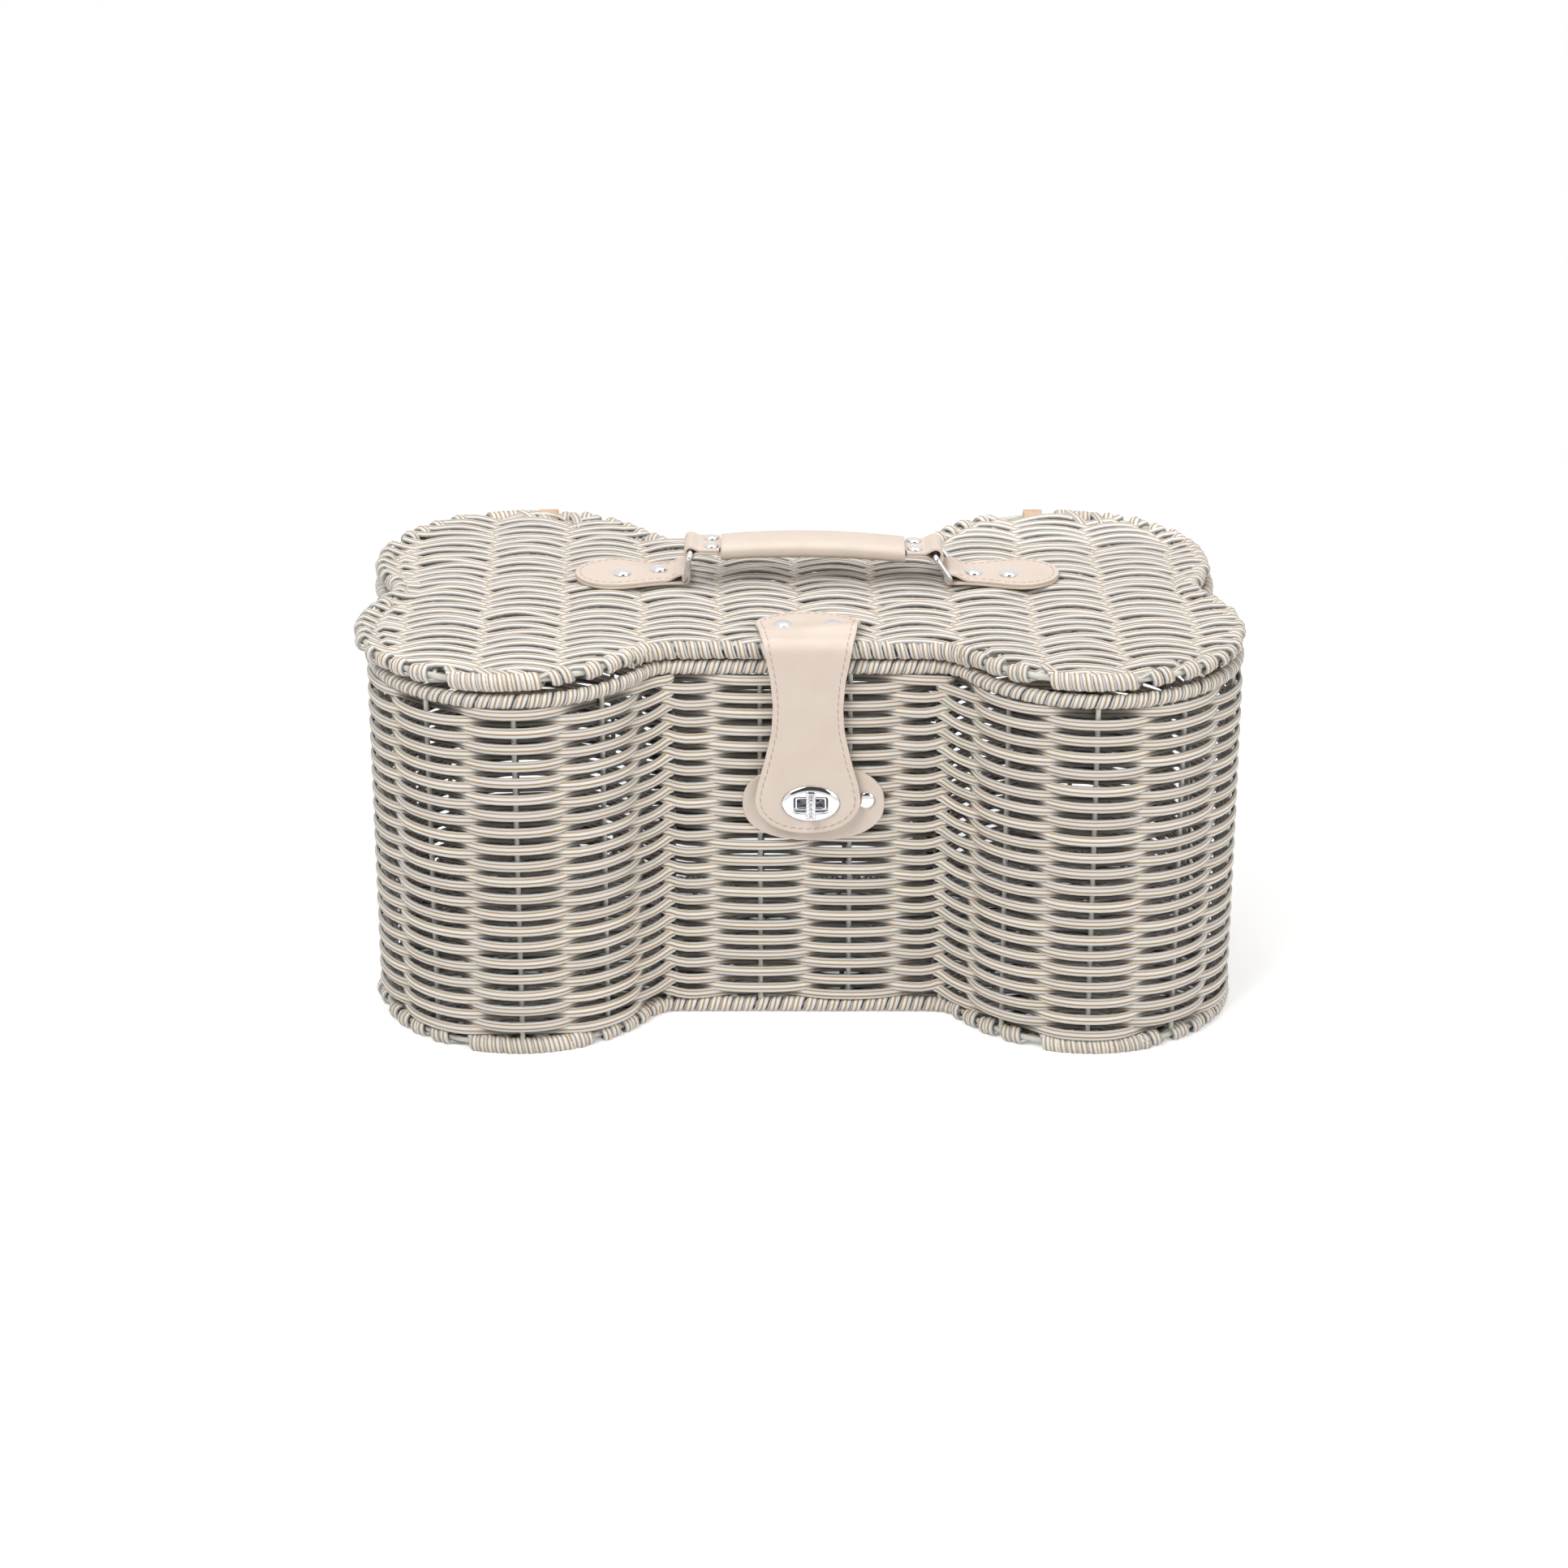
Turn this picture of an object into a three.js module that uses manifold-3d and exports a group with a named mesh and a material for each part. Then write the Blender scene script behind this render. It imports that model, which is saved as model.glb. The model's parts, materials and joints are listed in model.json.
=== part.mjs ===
// A woven hamper basket with a hinged lid, a carry handle on two wire rings and a strap with a turn lock.
// Millimetres, +Z up, the front faces -Y. The origin is on the floor, in the middle of the basket's base.
// Strands are woven over a welded wire frame. Each woven wall is one solid of the weave's full thickness,
// with a channel for every wire that runs through it.

import * as THREE from 'three';
import { mergeVertices } from 'three/addons/utils/BufferGeometryUtils.js';
import Module from 'manifold-3d';

const wasm = await Module();
wasm.setup();

// Plan of the basket: four round lobes, a straight recess at front and back, a notch at each side.
// It is hand made, so its back lobes are not quite behind the front ones.
const lobeX = 154;
const lobeY = 51.6;
const lobeRadius = 77;
const recessDepthY = 79;
const backLobeShift = { right: -6, left: -5 };
const cornerFillet = 20;
const lidCornerFillet = 32;
const notchFillet = 30;
const arcStep = THREE.MathUtils.degToRad(21);

// Heights
const rimHeight = 202.5;
const lidRise = 11.5;

// Wire frame and weave
const ringWireRadius = 1.65;
const ringWireSides = 6;
const stakeRadius = 1.4;
const weaveHalfThickness = 3.9;
const wrapRadius = 4.1;
const wrapSides = 8;
const clearance = 0.3;
const frontStakeAngles = [-38.2, -1.8, 34.6, 71, 100];
const backStakeAngles = [-38.2, 8, 39.5, 71, 100];
const recessStakeX = 24;
const cornerStakeReach = 5;
const barCount = 10;
const barPitch = 42.1;
const wallRows = 40;
const lidRows = 56;
const lidRowInset = 5;

// Lid: hand made, so its lobes are not quite where the basket's are
const lidLobeShift = { frontRight: -1.5, backRight: -10, backLeft: -2.5, frontLeft: -4.5 };
const lidBarShift = -4.9;
const lidBarLean = 0.0244;

// Leather
const leather = 1.6;
const doubleLeather = 3.2;
const strapLeather = 2.4;

// Hinge loops, seen over the rear edge of the two back lobes
const hingeX = [-146.5, 132];
const hingeWidth = 10.5;
const hingeBore = 3.9;
const hingeLeather = 1.6;

// Carry handle
const handleY = 17;
const ringWire = 1.5;
const ringHeight = 15.5;
const ringInside = 31;
const ringBend = 2.4;
const leftRingX = -66;
const leftRingLean = 13.5;
const rightRingX = 80;
const rightRingLean = -33;
const anchorLength = 60;
const anchorBulbWidth = 41;
const anchorNeckWidth = 28;
const anchorFreePlay = 0.4;
const handlePlay = 0.4;
const openPivotPlay = 1.3;
const leftAnchorRivets = [{ along: 14, aside: 2 }, { along: 34, aside: -4.5 }];
const rightAnchorRivets = [{ along: 13, aside: -3 }, { along: 32, aside: -5.5 }];
const endStrapLength = 24;
const endStrapWidth = 25;
const tongueWidth = 15;
const sleeveStart = 16.5;
const sleeveWidth = 26;
const sleeveHeight = 12;
const sleeveBow = 2.5;
const coreInset = 9;

// Closing strap
const strapX = 1.5;
const strapReach = 39.4;
const strapEarReach = 25.9;
const strapEarLength = 14;
const strapRivetReach = 17.9;
const strapCrestHalf = 24.5;
const strapEarHalf = 27.7;
const strapWaistHalf = 18.6;
const strapWaistDrop = 36;
const strapBulbHalf = 28.4;
const strapBulbRise = 2;
const strapTail = 17.5;
const strapRivetHalf = 13.2;

// Turn lock
const lockX = 3.1;
const lockHeight = 128.4;
const slotWidth = 18.2;
const slotHeight = 8.7;
const eyeletWidth = 31.4;
const eyeletHeight = 20.8;
const lockMetal = 1.2;
const lockPlateWidth = 27;
const lockPlateHeight = 13;
const knobWidth = 5.2;
const knobHeight = 15.2;
const knobDepth = 3.6;
const knobPostRadius = 2.4;
const stoneDepth = 1;
const backingWidth = 76;
const backingHeight = 44;
const backingX = 4.6;
const backingDrop = 1.8;
const backingThickness = 2;
const backingRivetX = [-18.4, 32.8];

// Rivets
const rivetCapRadius = 4.8;
const rivetCapHeight = 1.9;
const smallCapRadius = 4.1;
const rivetShankRadius = 1.4;
const rivetSides = 8;

// Places worked out from the dimensions above
const baseHeight = wrapRadius;
const lidHeight = rimHeight + lidRise;
const weaveOffset = wrapRadius + clearance;
const lidTop = lidHeight + weaveHalfThickness;
const lidUnderside = lidHeight - weaveHalfThickness;
const wallFrontY = -(recessDepthY + weaveHalfThickness);
const strapBackY = wallFrontY + strapReach;
const strapEarY = wallFrontY + strapEarReach;
const strapRivetY = wallFrontY + strapRivetReach;
const tabFloor = lidTop + clearance;

// How far a weave stands out from the wires: over one, under one, and halfway from one to the next
const channelSides = 5;
const channelRadius = (stakeRadius + clearance) / Math.cos(Math.PI / channelSides);
const overWire = weaveHalfThickness;
const underWire = channelRadius + clearance / 2;
const betweenWires = (weaveHalfThickness - stakeRadius) / 2;
const plainLevel = (overWire + underWire) / 2;

const basketPlan = makePlan(cornerFillet, [
  [lobeX, -lobeY],
  [lobeX + backLobeShift.right, lobeY],
  [-lobeX + backLobeShift.left, lobeY],
  [-lobeX, -lobeY],
]);
const lidPlan = makePlan(lidCornerFillet, [
  [lobeX + lidLobeShift.frontRight, -lobeY],
  [lobeX + lidLobeShift.backRight, lobeY],
  [-lobeX + lidLobeShift.backLeft, lobeY],
  [-lobeX + lidLobeShift.frontLeft, -lobeY],
]);

const strandPaint = { color: 0xcfc6b8, roughness: 0.5, metalness: 0 };
const wirePaint = { color: 0xb9b8a6, roughness: 0.55, metalness: 0.1 };
const leatherPaint = { color: 0xe0c8b2, roughness: 0.6, metalness: 0 };
const chromePaint = { color: 0xd8d9dc, roughness: 0.12, metalness: 1 };
const fillerPaint = { color: 0xb8ad9c, roughness: 0.9, metalness: 0 };
const stonePaint = { color: 0xeef2f6, roughness: 0.05, metalness: 0.2 };

// Plan outline

function vector(x, y) {
  return new THREE.Vector2(x, y);
}

function heading(from, to) {
  return Math.atan2(to.y - from.y, to.x - from.x);
}

// The fillet that joins a lobe to the straight recess beside it
function cornerCentre(lobe, radius) {
  const y = Math.sign(lobe.y) * (recessDepthY + radius);
  const reach = Math.sqrt((lobeRadius + radius) ** 2 - (y - lobe.y) ** 2);
  return vector(lobe.x - Math.sign(lobe.x) * reach, y);
}

// The fillet that joins the two lobes of one end
function notchCentre(a, b) {
  const middle = a.clone().add(b).multiplyScalar(0.5);
  const half = b.clone().sub(a).multiplyScalar(0.5);
  const reach = Math.sqrt((lobeRadius + notchFillet) ** 2 - half.lengthSq());
  const outward = vector(half.y, -half.x).normalize();
  return middle.addScaledVector(outward, reach);
}

// The outline's arcs, anticlockwise from the front right corner, with straight runs between some of them
function makePlan(cornerRadius, lobeCentres) {
  const lobes = lobeCentres.map(([x, y]) => vector(x, y));
  const [frontRight, backRight, backLeft, frontLeft] = lobes;
  const corners = lobes.map((centre) => cornerCentre(centre, cornerRadius));
  const notchRight = notchCentre(frontRight, backRight);
  const notchLeft = notchCentre(backLeft, frontLeft);
  const towardsBack = Math.PI / 2;
  const arcs = [
    fillet(corners[0], cornerRadius, towardsBack, heading(corners[0], frontRight)),
    lobe(frontRight, heading(frontRight, corners[0]), heading(frontRight, notchRight)),
    fillet(notchRight, notchFillet, heading(notchRight, frontRight), heading(notchRight, backRight)),
    lobe(backRight, heading(backRight, notchRight), heading(backRight, corners[1])),
    fillet(corners[1], cornerRadius, heading(corners[1], backRight), -towardsBack),
    fillet(corners[2], cornerRadius, -towardsBack, heading(corners[2], backLeft)),
    lobe(backLeft, heading(backLeft, corners[2]), heading(backLeft, notchLeft)),
    fillet(notchLeft, notchFillet, heading(notchLeft, backLeft), heading(notchLeft, frontLeft)),
    lobe(frontLeft, heading(frontLeft, notchLeft), heading(frontLeft, corners[3])),
    fillet(corners[3], cornerRadius, heading(corners[3], frontLeft), towardsBack),
  ];
  return { lobes, arcs };
}

function lobe(centre, from, to) {
  return { centre, radius: lobeRadius, side: 1, from, sweep: turn(from, to, 1) };
}

function fillet(centre, radius, from, to) {
  return { centre, radius, side: -1, from, sweep: turn(from, to, -1) };
}

// The turn from one heading to another, anticlockwise for direction 1 and clockwise for -1
function turn(from, to, direction) {
  const full = 2 * Math.PI;
  const turned = ((to - from) * direction % full + full) % full;
  return turned * direction;
}

function pointOnArc(arc, share, offset = 0) {
  const angle = arc.from + arc.sweep * share;
  const radius = arc.radius + arc.side * offset;
  return vector(arc.centre.x + radius * Math.cos(angle), arc.centre.y + radius * Math.sin(angle));
}

function outlinePoints(plan, offset) {
  const points = [];
  for (const arc of plan.arcs) {
    const steps = Math.max(2, Math.round(Math.abs(arc.sweep) / arcStep));
    for (let i = 0; i <= steps; i += 1) {
      points.push(pointOnArc(arc, i / steps, offset));
    }
  }
  return points.filter((point, i) => point.distanceTo(points[(i + 1) % points.length]) > 0.01);
}

// Where the outline crosses the line at x, on its front (-1) or back (1) half
function edgeY(plan, x, half, offset = 0) {
  const points = outlinePoints(plan, offset);
  let best = 0;
  points.forEach((a, i) => {
    const b = points[(i + 1) % points.length];
    if ((a.x - x) * (b.x - x) > 0 || a.x === b.x) return;
    const y = a.y + (b.y - a.y) * (x - a.x) / (b.x - a.x);
    if (y * half > best * half) best = y;
  });
  return best;
}

// Solids

function toSolid(geometry) {
  const plain = geometry.clone();
  plain.deleteAttribute('normal');
  plain.deleteAttribute('uv');
  const merged = mergeVertices(plain);
  return new wasm.Manifold(new wasm.Mesh({
    numProp: 3,
    vertProperties: merged.attributes.position.array,
    triVerts: new Uint32Array(merged.index.array),
  }));
}

function toGeometry(solid) {
  const mesh = solid.getMesh();
  const geometry = new THREE.BufferGeometry();
  geometry.setAttribute('position', new THREE.BufferAttribute(mesh.vertProperties, 3));
  geometry.setIndex(new THREE.BufferAttribute(mesh.triVerts, 1));
  geometry.computeVertexNormals();
  return geometry;
}

function cut(solid, ...tools) {
  return tools.reduce((rest, tool) => rest.subtract(tool), solid);
}

function join(first, ...others) {
  return others.reduce((sum, other) => sum.add(other), first);
}

function box(x0, x1, y0, y1, z0, z1) {
  const geometry = new THREE.BoxGeometry(x1 - x0, y1 - y0, z1 - z0);
  return geometry.translate((x0 + x1) / 2, (y0 + y1) / 2, (z0 + z1) / 2);
}

function rod(from, to, radius, sides = 6) {
  const along = to.clone().sub(from);
  const geometry = new THREE.CylinderGeometry(radius, radius, along.length(), sides);
  const up = new THREE.Vector3(0, 1, 0);
  geometry.applyQuaternion(new THREE.Quaternion().setFromUnitVectors(up, along.normalize()));
  const middle = from.clone().add(to).multiplyScalar(0.5);
  return geometry.translate(middle.x, middle.y, middle.z);
}

// A plate of the plan's outline, or a band between two offsets of it
function plate(plan, offset, z0, z1, holeOffset = null) {
  const shape = new THREE.Shape(outlinePoints(plan, offset));
  if (holeOffset !== null) shape.holes.push(new THREE.Path(outlinePoints(plan, holeOffset)));
  const geometry = new THREE.ExtrudeGeometry(shape, { depth: z1 - z0, bevelEnabled: false });
  return geometry.translate(0, 0, z0);
}

// A solid from its triangles, each three points seen anticlockwise from outside
function fromFaces(faces) {
  const geometry = new THREE.BufferGeometry();
  const corners = faces.flat().flatMap((point) => [point.x, point.y, point.z]);
  geometry.setAttribute('position', new THREE.Float32BufferAttribute(corners, 3));
  return toSolid(geometry);
}

// A ring that follows the plan's outline, its section a shape of equal sides with corners at a reach
function roundRing(plan, reach, z, sides) {
  const loops = [];
  for (let i = 0; i < sides; i += 1) {
    const angle = 2 * Math.PI * (i + 0.5) / sides;
    const height = z + reach * Math.sin(angle);
    const loop = outlinePoints(plan, reach * Math.cos(angle));
    loops.push(loop.map(({ x, y }) => new THREE.Vector3(x, y, height)));
  }
  const faces = loops.flatMap((loop, i) => {
    const next = loops[(i + 1) % sides];
    return loop.flatMap((point, j) => {
      const k = (j + 1) % loop.length;
      return [[point, loop[k], next[k]], [point, next[k], next[j]]];
    });
  });
  return fromFaces(faces);
}

// A square passage along the outline, for the ring wire inside its wrapping
function ringBore(plan, z) {
  const half = ringWireRadius + clearance;
  return toSolid(plate(plan, half, z - half, z + half, -half));
}

// Wires

// The shares of an arc of the basket's outline at which its uprights stand
function arcStakes(arc) {
  if (arc.radius === notchFillet) return [0.5];
  if (arc.side < 0) {
    const share = cornerStakeReach / (arc.radius * Math.abs(arc.sweep));
    const leavesRecess = Math.abs(pointOnArc(arc, 0).y) < Math.abs(pointOnArc(arc, 1).y);
    return [leavesRecess ? share : 1 - share];
  }
  const angles = arc.centre.y < 0 ? frontStakeAngles : backStakeAngles;
  return angles.map(THREE.MathUtils.degToRad).map((angle) => {
    const across = Math.sign(arc.centre.x) * Math.sin(angle);
    const out = Math.sign(arc.centre.y) * Math.cos(angle);
    return turn(arc.from, Math.atan2(out, across), 1) / arc.sweep;
  }).sort((a, b) => a - b);
}

// The basket's outline in order, as its arcs and the straight recesses, with the uprights on each
function basketRuns() {
  const runs = [];
  const add = (at, length, shares) => {
    const start = runs.reduce((sum, run) => sum + run.length, 0);
    runs.push({ at, length, start, stakes: shares });
  };
  basketPlan.arcs.forEach((arc, i) => {
    const at = (share, offset) => pointOnArc(arc, share, offset);
    add(at, arc.radius * Math.abs(arc.sweep), arcStakes(arc));
    const next = basketPlan.arcs[(i + 1) % basketPlan.arcs.length];
    const length = at(1).distanceTo(pointOnArc(next, 0));
    if (length < recessStakeX) return;
    const across = (share, offset) => at(1, offset).lerp(pointOnArc(next, 0, offset), share);
    const half = recessStakeX / length;
    add(across, length, [0.5 - half, 0.5 + half]);
  });
  return runs;
}

function stakes(radius, z0, z1, sides = 6) {
  return basketRuns().flatMap((run) => run.stakes.map((share) => {
    const { x, y } = run.at(share);
    const foot = new THREE.Vector3(x, y, z0);
    const head = new THREE.Vector3(x, y, z1);
    return toSolid(rod(foot, head, radius, sides));
  }));
}

// Bars from the front of a ring to its back, on which the base and the lid are woven
function crossBars(plan, z, radius, shift = 0, lean = 0, sides = 6) {
  const bars = [];
  for (let i = 0; i < barCount; i += 1) {
    const x = shift + (i - (barCount - 1) / 2) * barPitch;
    const frontX = x + lean * recessDepthY;
    const backX = x - lean * recessDepthY;
    const front = new THREE.Vector3(frontX, edgeY(plan, frontX, -1), z);
    const back = new THREE.Vector3(backX, edgeY(plan, backX, 1), z);
    bars.push(toSolid(rod(front, back, radius, sides)));
  }
  return bars;
}

function barChannels(plan, z, shift, lean) {
  return crossBars(plan, z, channelRadius, shift, lean, channelSides);
}

const stakeChannels = stakes(channelRadius, baseHeight, rimHeight, channelSides);
const baseChannels = barChannels(basketPlan, baseHeight, 0, 0);
const lidChannels = barChannels(lidPlan, lidHeight, lidBarShift, lidBarLean);

function bodyWireFrame() {
  const base = roundRing(basketPlan, ringWireRadius, baseHeight, ringWireSides);
  const top = roundRing(basketPlan, ringWireRadius, rimHeight, ringWireSides);
  const uprights = stakes(stakeRadius, baseHeight, rimHeight);
  return join(base, top, ...uprights, ...crossBars(basketPlan, baseHeight, stakeRadius));
}

function lidWireFrame() {
  const ring = roundRing(lidPlan, ringWireRadius, lidHeight, ringWireSides);
  return join(ring, ...crossBars(lidPlan, lidHeight, stakeRadius, lidBarShift, lidBarLean));
}

// Hinge loops, each a leather band round the basket's rim wire and the lid's

const hinges = hingeX.map((x) => {
  const lower = new THREE.Vector3(x, edgeY(basketPlan, x, 1), rimHeight);
  const upper = new THREE.Vector3(x, edgeY(lidPlan, x, 1), lidHeight);
  return { x, lower, upper };
});

function stadium(length, radius) {
  const shape = new THREE.Shape();
  shape.absarc(0, 0, radius, Math.PI, 2 * Math.PI, false);
  shape.absarc(0, length, radius, 0, Math.PI, false);
  return shape;
}

function hingeLoop({ x, lower, upper }) {
  const length = upper.distanceTo(lower);
  const shape = stadium(length, hingeBore + hingeLeather);
  shape.holes.push(new THREE.Path(stadium(length, hingeBore).getPoints(5)));
  const settings = { depth: hingeWidth, bevelEnabled: false, curveSegments: 5 };
  const geometry = new THREE.ExtrudeGeometry(shape, settings);
  geometry.rotateZ(Math.PI / 2).rotateY(Math.PI / 2);
  geometry.rotateX(Math.atan2(upper.z - lower.z, upper.y - lower.y) - Math.PI / 2);
  return geometry.translate(x - hingeWidth / 2, lower.y, lower.z);
}

// The space that a hinge loop takes out of what is woven round it
function hingeGap({ x, lower, upper }, z0, z1, inward) {
  const half = hingeWidth / 2 + clearance;
  const near = Math.min(lower.y, upper.y) - inward;
  return toSolid(box(x - half, x + half, near, upper.y + hingeBore + lobeRadius / 2, z0, z1));
}

const loopReach = hingeBore + hingeLeather + clearance;

// Woven slabs

// Triangles between two lines of points that start and end level, where measure says how far along each is
function stitch(left, right, measure) {
  const faces = [];
  let i = 0;
  let j = 0;
  while (i < left.length - 1 || j < right.length - 1) {
    const leftIsNext = i < left.length - 1
      && (j === right.length - 1 || measure(left[i + 1]) <= measure(right[j + 1]));
    if (leftIsNext) {
      faces.push([left[i], right[j], left[i + 1]]);
      i += 1;
    } else {
      faces.push([left[i], right[j], right[j + 1]]);
      j += 1;
    }
  }
  return faces;
}

// The flat end of a slab, on its first line of points
function slabEnd({ face, back }) {
  const fan = [[back[0], face[face.length - 1], back[1]]];
  for (let i = 0; i < face.length - 1; i += 1) {
    fan.push([back[0], face[i], face[i + 1]]);
  }
  return fan;
}

// A solid whose outer face runs through lines of points, each with the two points behind its ends
function slab(lines, measure) {
  const last = lines[lines.length - 1];
  const farEnd = slabEnd(last).map(([a, b, c]) => [a, c, b]);
  const faces = [...slabEnd(lines[0]), ...farEnd];
  lines.slice(1).forEach((right, i) => {
    const left = lines[i];
    const [leftFoot, leftHead] = [left.face[0], left.face[left.face.length - 1]];
    const [rightFoot, rightHead] = [right.face[0], right.face[right.face.length - 1]];
    faces.push(...stitch(left.face, right.face, measure));
    faces.push([left.back[0], left.back[1], right.back[0]]);
    faces.push([right.back[0], left.back[1], right.back[1]]);
    faces.push([leftHead, rightHead, right.back[1]], [leftHead, right.back[1], left.back[1]]);
    faces.push([leftFoot, right.back[0], rightFoot], [leftFoot, left.back[0], right.back[0]]);
  });
  return fromFaces(faces);
}

// How far along each row of a weave lies, between the two edges
function rowReaches(rows, from, to, inset) {
  const pitch = (to - from - 2 * inset) / (rows - 1);
  const middles = Array.from({ length: rows }, (_, row) => from + inset + row * pitch);
  return [from, ...middles, to];
}

// A line of points on a wire, where the rows pass over it and under it by turns
function wovenRows(order, reaches) {
  const last = reaches.length - 1;
  return reaches.map((reach, i) => {
    const row = Math.min(Math.max(i, 1), last - 1) - 1;
    return { reach, level: (order + row) % 2 === 0 ? overWire : underWire };
  });
}

// A line of points between wires, which needs every second row only, or at a plain end no row at all
function evenRows(level, reaches, every = 2) {
  const last = reaches.length - 1;
  const kept = reaches.filter((_, i) => i === last || i % every === 0);
  return kept.map((reach) => ({ reach, level }));
}

// Weaves and wrappings

const wallRuns = basketRuns();
const wallLength = wallRuns.reduce((sum, run) => sum + run.length, 0);
const wallFoot = baseHeight + weaveOffset;
const wallHead = rimHeight - weaveOffset;

// A point of the wall at a place along the basket's outline
function wallPoint(place, offset, z) {
  const here = (place + wallLength) % wallLength;
  const run = wallRuns.filter(({ start }) => start <= here).pop();
  const { x, y } = run.at((here - run.start) / run.length, offset);
  return new THREE.Vector3(x, y, z);
}

function wallLine(place, rows) {
  const back = [wallFoot, wallHead].map((z) => wallPoint(place, -weaveHalfThickness, z));
  return { face: rows.map(({ reach, level }) => wallPoint(place, level, reach)), back };
}

// The places of the uprights along the outline, and those where one run ends and the next starts
function wallPlaces() {
  const wires = wallRuns.flatMap(({ stakes: shares, start, length }) => {
    return shares.map((share) => start + share * length);
  });
  return { wires, bends: wallRuns.map(({ start }) => start) };
}

// The wall from one corner upright to another: woven on the wires between them, and plain at its ends
function wallPanel(first, last) {
  const { wires, bends } = wallPlaces();
  const wire = (order) => wires[order % wires.length] + wallLength * Math.floor(order / wires.length);
  const inset = (wallHead - wallFoot) / wallRows / 2;
  const reaches = rowReaches(wallRows, wallFoot, wallHead, inset);
  const ends = [wire(first) + clearance / 2, wire(last) - clearance / 2];
  const stations = ends.map((place) => [place, evenRows(plainLevel, reaches, wallRows)]);
  for (let order = first; order < last; order += 1) {
    const [from, to] = [wire(order), wire(order + 1)];
    const half = (to - from) / 2;
    stations.push([from + half, evenRows(betweenWires, reaches)]);
    if (order > first) stations.push([from, wovenRows(order, reaches)]);
    for (const bend of [...bends, ...bends.map((place) => place + wallLength)]) {
      const apart = Math.min(bend - from, to - bend) / half;
      if (apart <= 0) continue;
      const level = plainLevel + (betweenWires - plainLevel) * apart;
      const atEnd = bend - ends[0] < half || ends[1] - bend < half;
      stations.push([bend, evenRows(level, reaches, atEnd ? wallRows : 2)]);
    }
  }
  stations.sort((a, b) => a[0] - b[0]);
  return slab(stations.map(([place, rows]) => wallLine(place, rows)), (point) => point.z);
}

// The strands of a lobe and of the recess end on the same upright, so the wall is four panels
function wallPanels() {
  const gapFoot = rimHeight - loopReach;
  const gaps = hinges.map((hinge) => hingeGap(hinge, gapFoot, wallHead + 1, loopReach));
  const panel = (first, last) => {
    return cut(wallPanel(first, last), ...stakeChannels, ...gaps, ...backingRivetHoles());
  };
  const endWires = 2 * frontStakeAngles.length + 2;
  const recessWires = 3;
  const backCorner = endWires;
  const leftCorner = backCorner + recessWires;
  const frontCorner = leftCorner + endWires;
  return {
    side_weave_front: panel(frontCorner, frontCorner + recessWires),
    side_weave_back: panel(backCorner, leftCorner),
    side_weave_left: panel(leftCorner, frontCorner),
    side_weave_right: panel(0, backCorner),
  };
}

function wrapping(plan, z, channels) {
  const corners = wrapRadius / Math.cos(Math.PI / wrapSides);
  return cut(roundRing(plan, corners, z, wrapSides), ringBore(plan, z), ...channels);
}

// Splits a wrapping at the hinge loops into the run between them and the run round the rest
function splitAtHinges(wrap, z) {
  const [left, right] = hinges;
  const half = hingeWidth / 2 + clearance;
  const far = 2 * lobeX;
  const z0 = z - 2 * wrapRadius;
  const z1 = z + 2 * wrapRadius;
  const between = toSolid(box(left.x + half, right.x - half, 0, far, z0, z1));
  const across = toSolid(box(left.x - half, right.x + half, 0, far, z0, z1));
  return { between: wrap.intersect(between), around: wrap.subtract(across) };
}

function baseWeave() {
  const top = 2 * weaveHalfThickness;
  const sheet = toSolid(plate(basketPlan, -weaveOffset, 0, top));
  return cut(sheet, ...baseChannels);
}

// The lid's upper side before its outline is cut: rows along the basket, woven on the bars
function lidField() {
  const side = lobeY + lobeRadius;
  const line = (x, rows) => ({
    face: rows.map(({ reach, level }) => lidPoint(x, reach, lidHeight + level)),
    back: [-side, side].map((y) => lidPoint(x, y, lidUnderside - 1)),
  });
  const end = side + lobeX;
  const reaches = rowReaches(lidRows, -side, side, lidRowInset);
  const lines = [line(-end, evenRows(betweenWires, reaches))];
  for (let i = 0; i < barCount; i += 1) {
    const x = (i - (barCount - 1) / 2) * barPitch;
    lines.push(line(x, wovenRows(i, reaches)));
    const between = i < barCount - 1 ? x + barPitch / 2 : end;
    lines.push(line(between, evenRows(betweenWires, reaches)));
  }
  return slab(lines, (point) => point.y);
}

function lidPoint(x, y, z) {
  return new THREE.Vector3(lidBarShift + x - lidBarLean * y, y, z);
}

function lidWeave() {
  const outline = toSolid(plate(lidPlan, -weaveOffset, lidUnderside, lidTop + 1));
  const sheet = lidField().intersect(outline);
  const gaps = hinges.map((hinge) => hingeGap(hinge, lidUnderside - 1, lidTop + 1, loopReach));
  return cut(sheet, ...lidChannels, ...gaps, ...lidRivetHoles());
}

// Rivets: a domed cap, a shank through the leather and what it is fixed to, and a flat back cap

function rivet(radius, grip) {
  const under = rivetCapHeight * 0.35;
  const profile = [
    vector(0, -grip - clearance - 1),
    vector(radius * 0.8, -grip - clearance - 1),
    vector(radius * 0.8, -grip - clearance),
    vector(rivetShankRadius, -grip - clearance),
    vector(rivetShankRadius, clearance),
    vector(radius, clearance),
    vector(radius * 0.92, clearance + under),
    vector(radius * 0.5, clearance + rivetCapHeight * 0.85),
    vector(0, clearance + rivetCapHeight),
  ];
  const geometry = new THREE.LatheGeometry(profile, rivetSides);
  return geometry.rotateX(Math.PI / 2);
}

function rivetHole(x, y, z0, z1) {
  const foot = new THREE.Vector3(x, y, z0);
  const head = new THREE.Vector3(x, y, z1);
  return toSolid(rod(foot, head, rivetShankRadius + 2 * clearance));
}

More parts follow.
